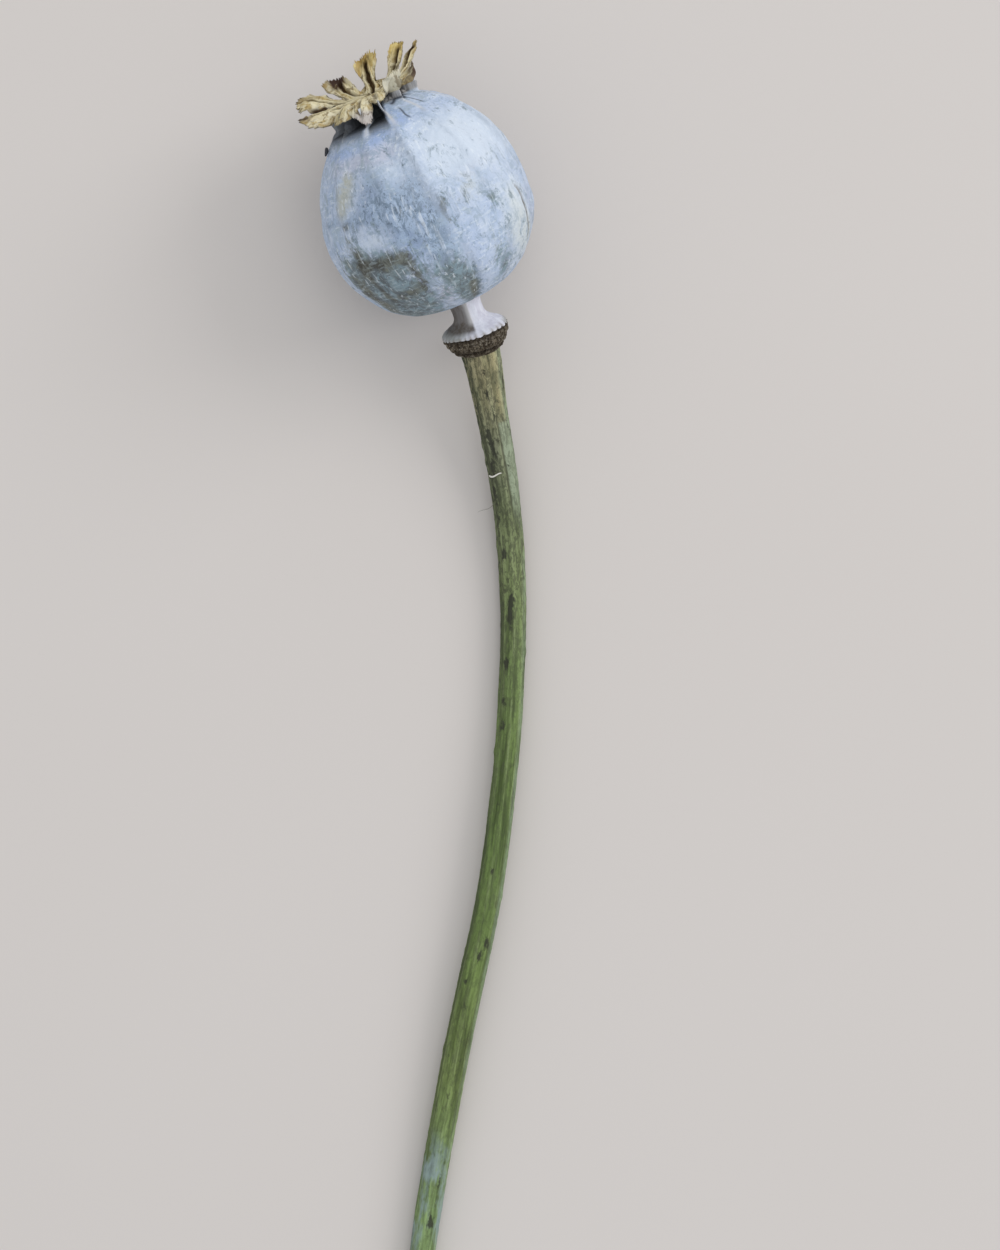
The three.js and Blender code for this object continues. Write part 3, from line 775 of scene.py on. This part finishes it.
def paperyRay():
    material, tree, shader = newMaterial("paperyRay", tone(194, 187, 156))
    skin = mark(tree, "skin", "Vector")
    fibres = useGroup(tree, fibreGroup, {"Skin": skin, "Scale": 1500.0})
    specks = useGroup(tree, speckGroup, {"Skin": skin, "Scale": 900.0, "Threshold": 0.58})["Specks"]
    cloud = grainNoise(tree, skin, 1.4, 4.0, 0.62)
    patch = grainNoise(tree, stretched(tree, skin, 1.0, 1.0, 0.5), 0.7, 5.0, 0.7, 0.5)
    colour = blendTone(tree, fibres["Fibres"], tone(184, 170, 124), tone(230, 222, 190))
    colour = layer(tree, colour, weighed(tree, "membrane", 0.6), 230, 224, 200)
    colour = layer(tree, colour, between(tree, cloud, 0.5, 0.62, 0.0, 0.8), 178, 152, 92)
    colour = layer(tree, colour, between(tree, patch, 0.54, 0.64, 0.0, 0.75), 118, 94, 52)
    colour = layer(tree, colour, between(tree, patch, 0.46, 0.38, 0.0, 0.6), 236, 230, 206)
    hem = weighed(tree, "hem", between(tree, cloud, 0.38, 0.56, 0.1, 0.75))
    colour = layer(tree, colour, hem, 150, 124, 72)
    colour = layer(tree, colour, weighed(tree, "stigma", 0.8, True), 232, 222, 186)
    goldTone = blendTone(tree, fibres["Fibres"], tone(196, 158, 70), tone(226, 206, 130))
    colour = blendTone(tree, weighed(tree, "gold", 0.85, True), colour, goldTone)
    darkShare = weighed(tree, "dark", between(tree, cloud, 0.3, 0.52, 0.35, 1.0))
    colour = layer(tree, colour, darkShare, 66, 48, 40)
    below = blendTone(tree, between(tree, cloud, 0.4, 0.6), tone(186, 168, 118), tone(126, 106, 70))
    below = layer(tree, below, between(tree, patch, 0.44, 0.58, 0.0, 0.6), 92, 82, 68)
    below = blendTone(tree, weighed(tree, "paleTip", 0.9), below,
                      blendTone(tree, fibres["Fibres"], tone(206, 200, 176), tone(228, 224, 206)))
    below = layer(tree, below, darkShare, 88, 66, 58)
    colour = blendTone(tree, mark(tree, "under"), colour, below)
    colour = layer(tree, colour, weighed(tree, "web", 0.7), 186, 182, 188)
    colour = layer(tree, colour, weighed(tree, "furrow", 1.4, True), 62, 44, 20)
    # painted shade in the gap between two rays
    colour = layer(tree, colour, weighed(tree, "seam", 1.0, True), 58, 42, 24)
    colour = layer(tree, colour, calc(tree, "MULTIPLY", specks, 0.6), 98, 78, 48)
    height = calc(tree, "ADD", fibres["Height"], calc(tree, "MULTIPLY", cloud, 0.6))
    roughness = calc(tree, "ADD", 0.72, calc(tree, "MULTIPLY", cloud, 0.15))
    join(tree, shader, colour, roughness, height, 0.85, 0.0004)
    shader.inputs["Specular IOR Level"].default_value = 0.25
    return material


# the stalk is the curve that the neck, the receptacle and the stem are carried along
stalkPoints = ((-2.3, -189, -15.2), (-0.6, -172, -15.1), (2.6, -152.3, -14.6), (6.1, -134, -14.0),
               (10.1, -115.3, -13.7),
               (12.4, -99, -14.0), (13.8, -84, -14.8), (14.4, -68.6, -15.21), (14.0, -55.6, -14.8),
               (12.6, -42.9, -13.4),
               (10.5, -31, -10.4), (9.15, -23.8, -7.5), (7.95, -19.35, -5.75), (6.1, -14.2, -3.7),
               (4.7, -10.6, -2.75))


def stalkCurve():
    # a curve through the points: a cubic for each span, whose end slopes come from the points on both
    # sides, weighted by the square roots of the distances between them
    points = np.array(stalkPoints, float)
    points = np.concatenate([[2 * points[0] - points[1]], points, [2 * points[-1] - points[-2]]])
    dense = []
    t = np.linspace(0, 1, 120, endpoint=False)[:, None]
    for p0, p1, p2, p3 in zip(points[:-3], points[1:-2], points[2:-1], points[3:]):
        d0, d1, d2 = (math.sqrt(np.linalg.norm(b - a)) for a, b in ((p0, p1), (p1, p2), (p2, p3)))
        m1 = d1 * ((p1 - p0) / d0 - (p2 - p0) / (d0 + d1) + (p2 - p1) / d1)
        m2 = d1 * ((p2 - p1) / d1 - (p3 - p1) / (d1 + d2) + (p3 - p2) / d2)
        dense.append(p1 + m1 * t + (3 * (p2 - p1) - 2 * m1 - m2) * t ** 2 + (2 * (p1 - p2) + m1 + m2)
                     * t ** 3)
    dense = np.concatenate(dense + [points[-2:-1]]) + centre
    run = np.concatenate([[0], np.cumsum(np.linalg.norm(np.diff(dense, axis=0), axis=1))])
    return run, dense


stalkRun, stalkPath = stalkCurve()
footPoint = fromHead(np.array([0, -head["foot"], 0]))
footToFlange = 5.6
flangeAt = stalkRun[np.linalg.norm(stalkPath - footPoint, axis=1).argmin()] - footToFlange
stemEnd = flangeAt - 3.5  # where the stem goes into the receptacle
print("flange is", round(flangeAt, 1), "mm along the stalk")


def alongStalk(distance, radius, angle):
    # places a ring surface on the stalk: distance is (rows,), radius (rows, around) and angle
    # (around,), which counts from the right-hand side of the stalk by way of the side that faces up
    at = np.stack([np.interp(distance, stalkRun, stalkPath[:, k]) for k in range(3)], axis=-1)
    ahead = np.stack([np.interp(distance + 0.6, stalkRun, stalkPath[:, k]) for k in range(3)], axis=-1)
    behind = np.stack([np.interp(distance - 0.6, stalkRun, stalkPath[:, k]) for k in range(3)], axis=-1)
    forward = unit(ahead - behind)
    right = unit(np.cross(forward, [0, 0, 1]))
    over = np.cross(right, forward)
    ring = right[:, None] * np.cos(angle)[None, :, None] + over[:, None] * np.sin(angle)[None, :, None]
    return at[:, None] + ring * radius[..., None], at[0], at[-1]


def straightSkin(distance, radius, angle):
    # the same surface with the stalk laid straight, in metres, for patterns that follow it
    along = (distance[:, None] * np.ones_like(radius))
    return np.stack([radius * np.cos(angle), radius * np.sin(angle), along], axis=-1) * 0.001


neck = dict(around=290, rows=90, frills=29,
            profile=((0.0, 2.2), (0.02, 5.0), (0.08, 5.42), (0.2, 5.56), (0.36, 5.5), (0.6, 5.14),
                     (0.95, 4.5), (1.4, 3.76),
                     (1.9, 3.16), (2.5, 2.8), (3.2, 2.66), (4.2, 2.64), (4.9, 2.74), (5.4, 3.1),
                     (5.8, 3.9)))


def makeNeck():
    heights, radii = np.array(neck["profile"]).T
    step = np.concatenate([[0], np.cumsum(np.hypot(np.diff(heights), np.diff(radii)))])
    at = np.linspace(0, step[-1], neck["rows"])
    h, r = np.interp(at, step, heights), np.interp(at, step, radii)
    angle = np.linspace(0, 2 * np.pi, neck["around"], endpoint=False)
    grid = angle[None, :]
    rim = bump(h, 0.2, 0.4)[:, None] * smooth(r, 4.4, 5.3)[:, None]
    column = smooth(h, 1.2, 2.4)[:, None]
    frill = np.abs(np.sin(grid * neck["frills"] / 2 + 0.9 * np.sin(grid * 3) + 0.5
                          * np.sin(grid * 7))) ** 0.7
    uneven = 1 + 0.45 * np.sin(grid * 2 + 1) + 0.35 * np.sin(grid * 5)
    # four soft facets with a sharp arris between two of them, high on the left
    arris = bump(turnsFrom(np.degrees(grid), 95), 0, 13)
    flute = (0.12 * np.cos(4 * grid + 2.5) + 0.05 * np.cos(11 * grid) + 0.2 * arris
             - 0.12 * bump(turnsFrom(np.degrees(grid), 140), 0, 20))
    radius = (r[:, None] + rim * 0.12 * (frill - 0.6) * uneven
              + column * flute * smooth(r, 2.3, 2.6)[:, None])
    pleat = smooth(h, 0.25, 0.6)[:, None] * (1 - smooth(h, 1.0, 1.8))[:, None]
    radius = radius + pleat * 0.045 * np.cos(neck["frills"] * grid + 1.8 * np.sin(grid * 3))
    distance = flangeAt + h
    points, first, last = alongStalk(distance, radius, angle)
    # the frill's tongues hang down over the band below them
    hang = (rim * frill * 0.24 * uneven)[..., None]
    forward = unit(last - first)
    points = points - hang * forward
    skin = straightSkin(distance, radius, angle)
    # partly painted shade and partly brown dirt: the left-hand side of the column is darkened
    leftSide = np.clip(turnsFrom(np.degrees(grid), 156) / 70, -1, 1)
    dull = (1 - smooth(np.abs(leftSide), 0.9, 1.0)) * smooth(h, 0.45, 1.3)[:, None]
    # painted shade in grey-green on the left half of the flange, and on a narrow band low on its right-hand
    # edge
    rimDull = smooth(-np.cos(grid), 0.1, 0.6) * (1 - smooth(h, 0.8, 2.4))[:, None] * np.ones_like(radius)
    rimDull = np.maximum(rimDull, smooth(np.cos(grid), 0.9, 0.99) * (1 - smooth(h, 0.3, 0.9))[:, None])
    marks = dict(skin=skin, rim=rim * np.ones_like(radius), notch=rim * (1 - frill) * np.ones_like(radius),
                 dull=dull,
                 rimDull=rimDull * np.ones_like(radius), arris=arris * column * np.ones_like(radius))
    piece = ringMesh("neckFlange", points, first, last, marks)
    finishPiece(piece, chalkySkin(), "neck_skin", "neck")


def chalkySkin():
    material, tree, shader = newMaterial("chalkySkin", tone(205, 205, 214))
    skin = mark(tree, "skin", "Vector")
    fibres = useGroup(tree, fibreGroup, {"Skin": skin, "Scale": 1100.0})
    cloud = grainNoise(tree, skin, 1.8, 4.0, 0.6)
    colour = blendTone(tree, fibres["Fibres"], tone(206, 206, 218), tone(222, 224, 234))
    colour = layer(tree, colour, between(tree, cloud, 0.5, 0.7, 0.0, 0.5), 184, 182, 196)
    # painted shade on the flange
    colour = layer(tree, colour, weighed(tree, "rimDull", between(tree, cloud, 0.3, 0.6, 0.45, 0.8)), 146,
                   150, 142)
    # partly painted shade and partly brown dirt on the left of the column
    colour = layer(tree, colour, weighed(tree, "dull",
                                         between(tree, fibres["Fibres"], 0.0, 1.0, 0.98, 0.86)), 82, 74, 64)
    # painted highlight along the arris
    colour = layer(tree, colour, weighed(tree, "arris", 0.55), 214, 214, 216)
    notch = weighed(tree, "notch", 0.9, True)
    colour = layer(tree, colour, notch, 116, 108, 98)
    rimShare = weighed(tree, "rim", between(tree, cloud, 0.35, 0.6, 0.0, 0.35))
    colour = layer(tree, colour, rimShare, 150, 146, 142)
    height = calc(tree, "ADD", fibres["Height"], calc(tree, "MULTIPLY", cloud, 0.7))
    roughness = calc(tree, "ADD", 0.66, calc(tree, "MULTIPLY", cloud, 0.12))
    join(tree, shader, colour, roughness, height, 0.3, 0.0003)
    return material


receptacle = dict(around=288, rows=64,
                  profile=((-4.1, 1.5), (-4.05, 2.6), (-3.85, 3.3), (-3.55, 3.62), (-3.2, 4.0),
                           (-2.6, 4.62), (-1.9, 5.02),
                           (-1.1, 5.3), (-0.4, 5.42), (0.0, 5.3), (0.12, 4.6), (0.14, 2.4)))


def makeReceptacle():
    heights, radii = np.array(receptacle["profile"]).T
    step = np.concatenate([[0], np.cumsum(np.hypot(np.diff(heights), np.diff(radii)))])
    at = np.linspace(0, step[-1], receptacle["rows"])
    h, r = np.interp(at, step, heights), np.interp(at, step, radii)
    angle = np.linspace(0, 2 * np.pi, receptacle["around"], endpoint=False)
    grid, hh = angle[None, :], h[:, None]
    outside = smooth(r, 3.0, 4.0)[:, None]
    where = np.stack([r[:, None] * np.cos(grid), r[:, None] * np.sin(grid), hh * np.ones_like(grid)],
                     axis=-1)
    # upright fibres and scars in three staggered rows, a shelf near the top and a ragged lower lip
    fibres = 0.1 * np.sin(grid * 47 + 1.2 * np.sin(hh * 2)) + 0.06 * np.sin(grid * 83 + hh)
    scars = np.maximum(np.sin(grid * 31 + np.pi * np.round(hh / 0.8)), 0) * bump((hh / 0.8) % 1, 0.5, 0.26)
    radius = (r[:, None]
              + outside * (fibres - 0.22 * scars + 0.12 * ripple(where, 1.1, 31) + 0.1
                           * ripple(where, 4.5, 32)))
    radius = (radius
              + outside * (0.22 * bump(hh, -3.35, 0.22) - 0.2 * bump(hh, -2.9, 0.22) + 0.12
                           * bump(hh, -0.9, 0.25)))
    distance = flangeAt + h
    points, first, last = alongStalk(distance, radius, angle)
    marks = dict(skin=straightSkin(distance, radius, angle), scar=scars * outside,
                 shelf=bump(hh, -2.95, 0.3) * np.ones_like(radius),
                 upper=smooth(hh, -0.9, -0.2) * np.ones_like(radius))
    piece = ringMesh("receptacleBand", points, first, last, marks)
    finishPiece(piece, fibrousScar(), "receptacle_scar", "receptacle")


def fibrousScar():
    material, tree, shader = newMaterial("fibrousScar", tone(104, 95, 82))
    skin = mark(tree, "skin", "Vector")
    fibres = useGroup(tree, fibreGroup, {"Skin": stretched(tree, skin, 1.0, 1.0, 3.2), "Scale": 1600.0})
    cloud = grainNoise(tree, skin, 0.9, 4.0, 0.65)
    colour = blendTone(tree, fibres["Fibres"], tone(60, 51, 38), tone(134, 124, 108))
    chips = grainNoise(tree, skin, 0.45, 5.0, 0.7, 0.8)
    colour = layer(tree, colour, between(tree, cloud, 0.46, 0.6, 0.0, 0.8), 62, 52, 42)
    colour = layer(tree, colour, between(tree, chips, 0.55, 0.61, 0.0, 0.45), 176, 170, 158)
    colour = layer(tree, colour, between(tree, chips, 0.48, 0.41, 0.0, 0.85), 40, 32, 24)
    colour = layer(tree, colour, weighed(tree, "scar", 0.8, True), 44, 36, 28)
    colour = layer(tree, colour, weighed(tree, "shelf", 0.7, True), 46, 38, 30)
    colour = layer(tree, colour, weighed(tree, "upper", 0.75, True), 50, 42, 34)
    height = calc(tree, "ADD", fibres["Height"], cloud)
    roughness = calc(tree, "ADD", 0.82, calc(tree, "MULTIPLY", cloud, 0.12))
    join(tree, shader, colour, roughness, height, 0.8, 0.0005)
    shader.inputs["Specular IOR Level"].default_value = 0.2
    return material


stem = dict(around=112, rows=700, radius=2.12, flare=1.03, flareLength=12.0,
            # stains and scars: millimetres below the receptacle, degrees round, length, width in
            # degrees, strength
            blots=((45.5, 104, 2.6, 13, 1.0), (43.2, 96, 1.0, 12, 0.8), (54, 118, 1.1, 16, 0.9),
                   (64.5, 122, 1.2, 15, 0.8),
                   (60.5, 128, 0.8, 14, 0.7), (17, 112, 2.2, 14, 0.7), (20.5, 128, 1.6, 12, 0.8),
                   (24.5, 140, 1.2, 14, 0.7),
                   (28, 132, 3.0, 12, 0.6), (35.5, 122, 1.0, 14, 0.8), (9, 60, 0.7, 9, 0.5),
                   (5.5, 58, 0.6, 8, 0.5),
                   (7, 96, 1.4, 9, 0.6), (12, 82, 2.4, 8, 0.5), (14.5, 118, 1.2, 10, 0.8),
                   (78, 104, 0.9, 12, 0.5),
                   (89, 90, 0.9, 16, 0.5), (101, 60, 1.6, 16, 0.75), (103.5, 80, 1.0, 12, 0.6),
                   (112, 96, 0.8, 18, 0.4),
                   (108, 118, 1.0, 14, 0.6), (121, 120, 0.8, 18, 0.5), (127, 88, 1.0, 14, 0.5),
                   (142, 60, 1.2, 14, 0.5),
                   (149, 70, 1.6, 18, 0.75), (156, 100, 1.0, 14, 0.5), (70, 250, 1.4, 18, 0.6),
                   (38, 300, 1.4, 16, 0.6),
                   (100, 220, 1.4, 18, 0.6), (130, 300, 1.6, 14, 0.6), (22, 230, 2.0, 14, 0.6),
                   (150, 200, 1.2, 16, 0.5)))


def makeStem():
    total = stemEnd
    distance = np.linspace(0, total, stem["rows"] - 14)
    cap = np.array([0.25, 0.5, 0.7, 0.82, 0.9, 0.96, 0.99])
    distance = np.concatenate([np.zeros(7), distance, np.full(7, total)])
    capShare = np.concatenate([cap, np.ones(stem["rows"] - 14), cap[::-1]])[:, None]
    below = total - distance
    angle = np.linspace(0, 2 * np.pi, stem["around"], endpoint=False)
    grid, down = angle[None, :], below[:, None]
    degrees = np.degrees(grid)
    size = stem["radius"] + stem["flare"] * np.exp(-down / stem["flareLength"])
    where = np.stack([size * np.cos(grid), size * np.sin(grid), distance[:, None] * np.ones_like(grid)],
                     axis=-1)
    # ribs that fade and wander down the stem, then knobs, shrivelled dents and the peeled strip
    wander = 0.5 * np.sin(down / 23) + 0.3 * np.sin(down / 9.5 + 1)
    ribs = (0.045 * np.cos(8 * grid + wander) + 0.022 * np.cos(17 * grid - wander + 0.4)
            + 0.014 * np.cos(29 * grid + 2))
    ribs = ribs * (0.75 + 0.5 * np.exp(-down / 30))
    stripEdge = 66 + 6 * np.sin(down / 7)
    strip = (smooth(degrees, 8, 13) * (1 - smooth(degrees, stripEdge, stripEdge + 5))
             * smooth(down, 12.6, 13.0) * (1 - smooth(down, 24, 32)))
    marks = dict(blot=np.zeros_like(where[..., 0]))
    knobs = np.zeros_like(marks["blot"])
    for place, turn, length, width, strength in stem["blots"]:
        off = turnsFrom(degrees, turn)
        spot = strength * np.exp(-(((down - place) / length) ** 2) - (off / width) ** 2)
        marks["blot"] += spot
        knobs += 0.13 * spot * np.sin(place * 5)
    for place, turn, tall in ((16.5, 176, 0.22), (19.5, 172, 0.2), (69, 178, 0.2), (34, 182, 0.14),
                              (93, 4, 0.14), (120, 182, 0.12), (52, 356, 0.1)):
        off = turnsFrom(degrees, turn)
        knobs += tall * np.exp(-(((down - place) / 0.7) ** 2) - (off / 16) ** 2)
    radius = (size * (1 + ribs * 0.72) + 0.035 * ripple(where * [1, 1, 0.3], 2.6, 41)
              + 0.02 * ripple(where, 1.1, 42))
    radius = radius + 0.16 * strip + knobs
    radius = radius * (1 + 0.03 * np.sin(down / 17 + 0.5))
    radius = np.minimum(radius, size * 1.12)
    # the cut end is dished, with a paler pith
    points, first, last = alongStalk(distance, radius * capShare, angle)
    dish = np.zeros(stem["rows"])
    dish[:7] = 0.55 * (1 - cap ** 2)
    points[:7] += dish[:7, None, None] * unit(stalkPath[5] - stalkPath[0])
    ragged = 0.12 * np.sin(angle * 7 + 1) + 0.08 * np.sin(angle * 19)
    points[6:9] += ((ragged[None, :, None] * np.array([0.7, 1.0, 0.5])[:, None, None])
                    * unit(stalkPath[5] - stalkPath[0]))
    skin = straightSkin(distance, radius * capShare, angle)
    upper = ((1 - smooth(down, 8, 13)) * bump(degrees, 50, 13)
             + 0.5 * (1 - smooth(down, 3, 8)) * bump(degrees, 92, 11))
    # painted shade: a dark line along the raised edge of the peeled strip
    stripLine = bump(degrees, stripEdge + 6, 3.5) * smooth(down, 12.4, 13.4) * (1 - smooth(down, 24, 34))
    # the left and right marks carry painted shade and painted light down the two sides
    marks.update(skin=skin, down=down * np.ones_like(radius) / 200, strip=strip, stripEdge=stripLine,
                 rib=0.5 + ribs * 9, cream=upper,
                 left=smooth(-np.cos(grid - 0.3), -0.1, 0.9) * (0.45 + 0.55 * np.exp(-down / 60)),
                 right=smooth(np.cos(grid - np.radians(8)), 0.72, 1.0) * np.ones_like(radius),
                 pith=(1 - capShare) * np.ones_like(radius))
    piece = ringMesh("cutStem", points, first + 0.55 * unit(stalkPath[5] - stalkPath[0]), last, marks)
    finishPiece(piece, ribbedGreen(), "stem_skin", "stem")


def ribbedGreen():
    material, tree, shader = newMaterial("ribbedGreen", tone(98, 110, 78))
    skin = mark(tree, "skin", "Vector")
    fibres = useGroup(tree, fibreGroup, {"Skin": skin, "Scale": 900.0})
    specks = useGroup(tree, speckGroup, {"Skin": skin, "Scale": 520.0, "Threshold": 0.61})["Specks"]
    fine = useGroup(tree, speckGroup, {"Skin": skin, "Scale": 1700.0, "Threshold": 0.62})["Specks"]
    cloud = grainNoise(tree, stretched(tree, skin, 1.0, 1.0, 0.35), 3.0, 4.0, 0.6)
    down = mark(tree, "down")
    ramp = put(tree, "ShaderNodeValToRGB", {0: down})
    stops = ((0.0, (158, 150, 118)), (0.045, (154, 150, 118)), (0.085, (136, 140, 114)),
             (0.13, (118, 127, 92)), (0.2, (128, 142, 94)),
             (0.27, (116, 136, 82)), (0.34, (112, 134, 74)), (0.42, (100, 122, 64)), (0.5, (106, 128, 68)),
             (0.62, (124, 142, 82)), (0.74, (138, 164, 108)),
             (0.86, (140, 164, 108)), (1.0, (144, 166, 108)))
    for index, (place, colour) in enumerate(stops):
        stop = ramp.color_ramp.elements[index] if index < 2 else ramp.color_ramp.elements.new(place)
        stop.position, stop.color = place, tone(*colour)
    base = ramp.outputs[0]
    grime = grainNoise(tree, stretched(tree, skin, 1.0, 1.0, 0.4), 0.55, 5.0, 0.74, 0.7)
    darker = blendTone(tree, 1.0, base, tone(160, 164, 146), "MULTIPLY")
    lighter = blendTone(tree, 0.45, base, tone(170, 180, 138))
    colour = blendTone(tree, fibres["Fibres"], darker, base)
    ribShare = calc(tree, "MULTIPLY", between(tree, mark(tree, "rib"), 0.5, 1.0),
                    between(tree, cloud, 0.38, 0.62, 0.05, 0.55))
    colour = blendTone(tree, ribShare, colour, lighter)
    cream = weighed(tree, "cream", between(tree, grime, 0.38, 0.56, 0.2, 0.9))
    colour = layer(tree, colour, cream, 196, 186, 142)
    # painted light: a paler mint tone down the right-hand side of the stem, where the light falls
    mint = weighed(tree, "right", between(tree, cloud, 0.3, 0.62, 0.1, 0.6))
    colour = layer(tree, colour, mint, 152, 172, 140)
    gritty = calc(tree, "MULTIPLY", between(tree, grime, 0.48, 0.54),
                  between(tree, down, 0.36, 0.16, 0.45, 1.0))
    colour = layer(tree, colour, calc(tree, "MULTIPLY", gritty,
                                      between(tree, mark(tree, "left"), 0.0, 1.0, 0.6, 1.0)), 54, 56, 42)
    leftShade = weighed(tree, "left", between(tree, cloud, 0.36, 0.6, 0.25, 0.7))
    colour = layer(tree, colour, leftShade, 62, 70, 46)
    waxy = calc(tree, "MULTIPLY", between(tree, down, 0.66, 0.7), between(tree, down, 0.8, 0.74))
    waxy = calc(tree, "MULTIPLY", waxy, between(tree, cloud, 0.44, 0.6, 0.0, 0.8))
    colour = layer(tree, colour, waxy, 138, 156, 158)
    colour = layer(tree, colour, weighed(tree, "strip", between(tree, grime, 0.42, 0.56, 0.85, 0.4)), 150,
                   162, 138)
    # painted shade along the edge of the peeled strip
    colour = layer(tree, colour, weighed(tree, "stripEdge", 0.8), 70, 72, 54)
    shade = calc(tree, "MULTIPLY", between(tree, cloud, 0.56, 0.7), 0.45)
    colour = layer(tree, colour, shade, 70, 76, 56)
    top = between(tree, down, 0.3, 0.02, 0.25, 0.85)
    colour = layer(tree, colour, calc(tree, "MULTIPLY", specks, top), 52, 50, 38)
    colour = layer(tree, colour, calc(tree, "MULTIPLY", fine, 0.3), 58, 62, 44)
    blot = calc(tree, "ADD", mark(tree, "blot"),
                calc(tree, "MULTIPLY", calc(tree, "SUBTRACT", grime, 0.5), 1.8))
    colour = layer(tree, colour, calc(tree, "MULTIPLY", between(tree, blot, 0.27, 0.6), 0.88), 42, 44, 32)
    pithTone = blendTone(tree, between(tree, mark(tree, "pith"), 0.1, 0.4), tone(150, 156, 112),
                         tone(206, 204, 176))
    colour = blendTone(tree, between(tree, mark(tree, "pith"), 0.005, 0.05), colour, pithTone)
    height = calc(tree, "ADD", fibres["Height"], calc(tree, "MULTIPLY", cloud, 0.6))
    height = calc(tree, "ADD", height, calc(tree, "MULTIPLY", specks, 0.3))
    roughness = calc(tree, "ADD", 0.55, calc(tree, "MULTIPLY", cloud, 0.25))
    join(tree, shader, colour, roughness, height, 0.5, 0.0004)
    shader.inputs["Specular IOR Level"].default_value = 0.35
    return material


seed = dict(length=1.5, width=0.72, height=15.5, azimuth=188.0, around=48, rows=32)


def makeSeed():
    # an ellipsoid bent to a kidney, with a net of ridges from two crossed waves
    polar = np.linspace(0, np.pi, seed["rows"] + 2)[1:-1][:, None]
    angle = np.linspace(0, 2 * np.pi, seed["around"], endpoint=False)[None, :]
    net = np.abs(np.sin(angle * 5 + polar * 4)) ** 0.5 * np.abs(np.sin(angle * 5 - polar * 4)) ** 0.5
    swell = 0.5 * (0.92 + 0.08 * (1 - net))
    body = np.stack([swell * np.sin(polar) * np.cos(angle), -swell * np.cos(polar) * np.ones_like(angle),
                     swell * np.sin(polar) * np.sin(angle)], axis=-1)
    body = body * [seed["width"], seed["length"], seed["width"]]
    body[..., 0] += 0.3 * (body[..., 1] ** 2 - 0.15)
    turn = math.radians(seed["azimuth"])
    out = float(wallRadius(np.array(seed["height"]))) - 0.5 + seed["width"] / 2
    outward = np.array([math.cos(turn), 0, -math.sin(turn)])
    sideways = np.array([math.sin(turn), 0, math.cos(turn)])
    local = (body[..., :1] * outward + body[..., 1:2] * unit(np.array([0.5, 1, 0.1]))
             + body[..., 2:] * sideways)
    local = local + outward * out + np.array([0, seed["height"], 0])
    ends = local[0].mean(axis=0), local[-1].mean(axis=0)
    points = fromHead(local)
    piece = ringMesh("looseSeed", points, fromHead(ends[0]), fromHead(ends[1]),
                     dict(skin=body * 0.001, net=net * np.ones(points.shape[:2])))
    finishPiece(piece, inkySeedCoat(), "seed_coat", "loose_seed")


def inkySeedCoat():
    material, tree, shader = newMaterial("inkySeedCoat", tone(34, 36, 42))
    skin = mark(tree, "skin", "Vector")
    grain = grainNoise(tree, skin, 0.2, 3.0)
    colour = blendTone(tree, mark(tree, "net"), tone(58, 62, 74), tone(22, 22, 26))
    colour = layer(tree, colour, between(tree, grain, 0.4, 0.6, 0.0, 0.4), 48, 46, 46)
    join(tree, shader, colour, calc(tree, "ADD", 0.5, calc(tree, "MULTIPLY", grain, 0.2)), grain, 0.4,
         0.0001)
    return material


# each bristle lies on the stem: millimetres below the receptacle, degrees round at its two ends, drift
# along the stem, how far its middle stands off, radius
bristles = dict(
    whiteBristle=dict(place=21.6, turns=(156, 92), drift=(0.1, 0.05), stand=(0.14, 0.22, 0.14), radius=0.19,
                      tones=((206, 203, 192), (234, 232, 226))),
    fineHair=dict(place=26.5, turns=(150, 172), drift=(0.0, 1.6), stand=(0.0, 1.3, 2.8), radius=0.045,
                  tones=((112, 108, 100), (150, 145, 136))),
)


def makeBristle(name, facts):
    share = np.linspace(0, 1, 40)
    below = facts["place"] + mix(*facts["drift"], share) + 0.25 * np.sin(share * 5)
    turn = np.radians(mix(*facts["turns"], share))
    size = stem["radius"] + stem["flare"] * np.exp(-below / stem["flareLength"])
    stand = np.interp(share, [0, 0.5, 1], facts["stand"])
    path = np.array([alongStalk(np.array([stemEnd - b]), np.array([[s]]), np.array([a]))[0][0, 0] for b, s,
                     a in zip(below, size + stand, turn)])
    forward = unit(np.gradient(path, axis=0))
    side = unit(np.cross(forward, [0.1, 0.2, 1.0]))
    over = np.cross(side, forward)
    angle = np.linspace(0, 2 * np.pi, 12, endpoint=False)
    thick = facts["radius"] * np.sqrt(np.clip(1 - (2 * share - 1) ** 6, 0.02, 1)) * (1 - 0.4 * share)
    ring = side[:, None] * np.cos(angle)[None, :, None] + over[:, None] * np.sin(angle)[None, :, None]
    points = path[:, None] + ring * thick[:, None, None]
    skin = np.stack([np.cos(angle)[None, :] * thick[:, None], np.sin(angle)[None, :] * thick[:, None],
                     share[:, None] * 3 * np.ones((1, 12))], axis=-1) * 0.001
    piece = ringMesh(name, points, path[0], path[-1], dict(skin=skin))
    finishPiece(piece, paleBristle(name, *facts["tones"]), "neck_skin")


def paleBristle(name, darkTone, lightTone):
    material, tree, shader = newMaterial(name + "Skin", tone(*lightTone))
    skin = mark(tree, "skin", "Vector")
    fibres = useGroup(tree, fibreGroup, {"Skin": skin, "Scale": 2600.0})
    colour = blendTone(tree, fibres["Fibres"], tone(*darkTone), tone(*lightTone))
    roughness = calc(tree, "ADD", 0.45, calc(tree, "MULTIPLY", fibres["Fibres"], 0.2))
    join(tree, shader, colour, roughness, fibres["Height"], 0.3, 0.0001)
    return material


makeStage()
makeCapsule()
makeCrown()
makeNeck()
makeReceptacle()
makeStem()
makeSeed()
for bristleName, bristleFacts in bristles.items():
    makeBristle(bristleName, bristleFacts)
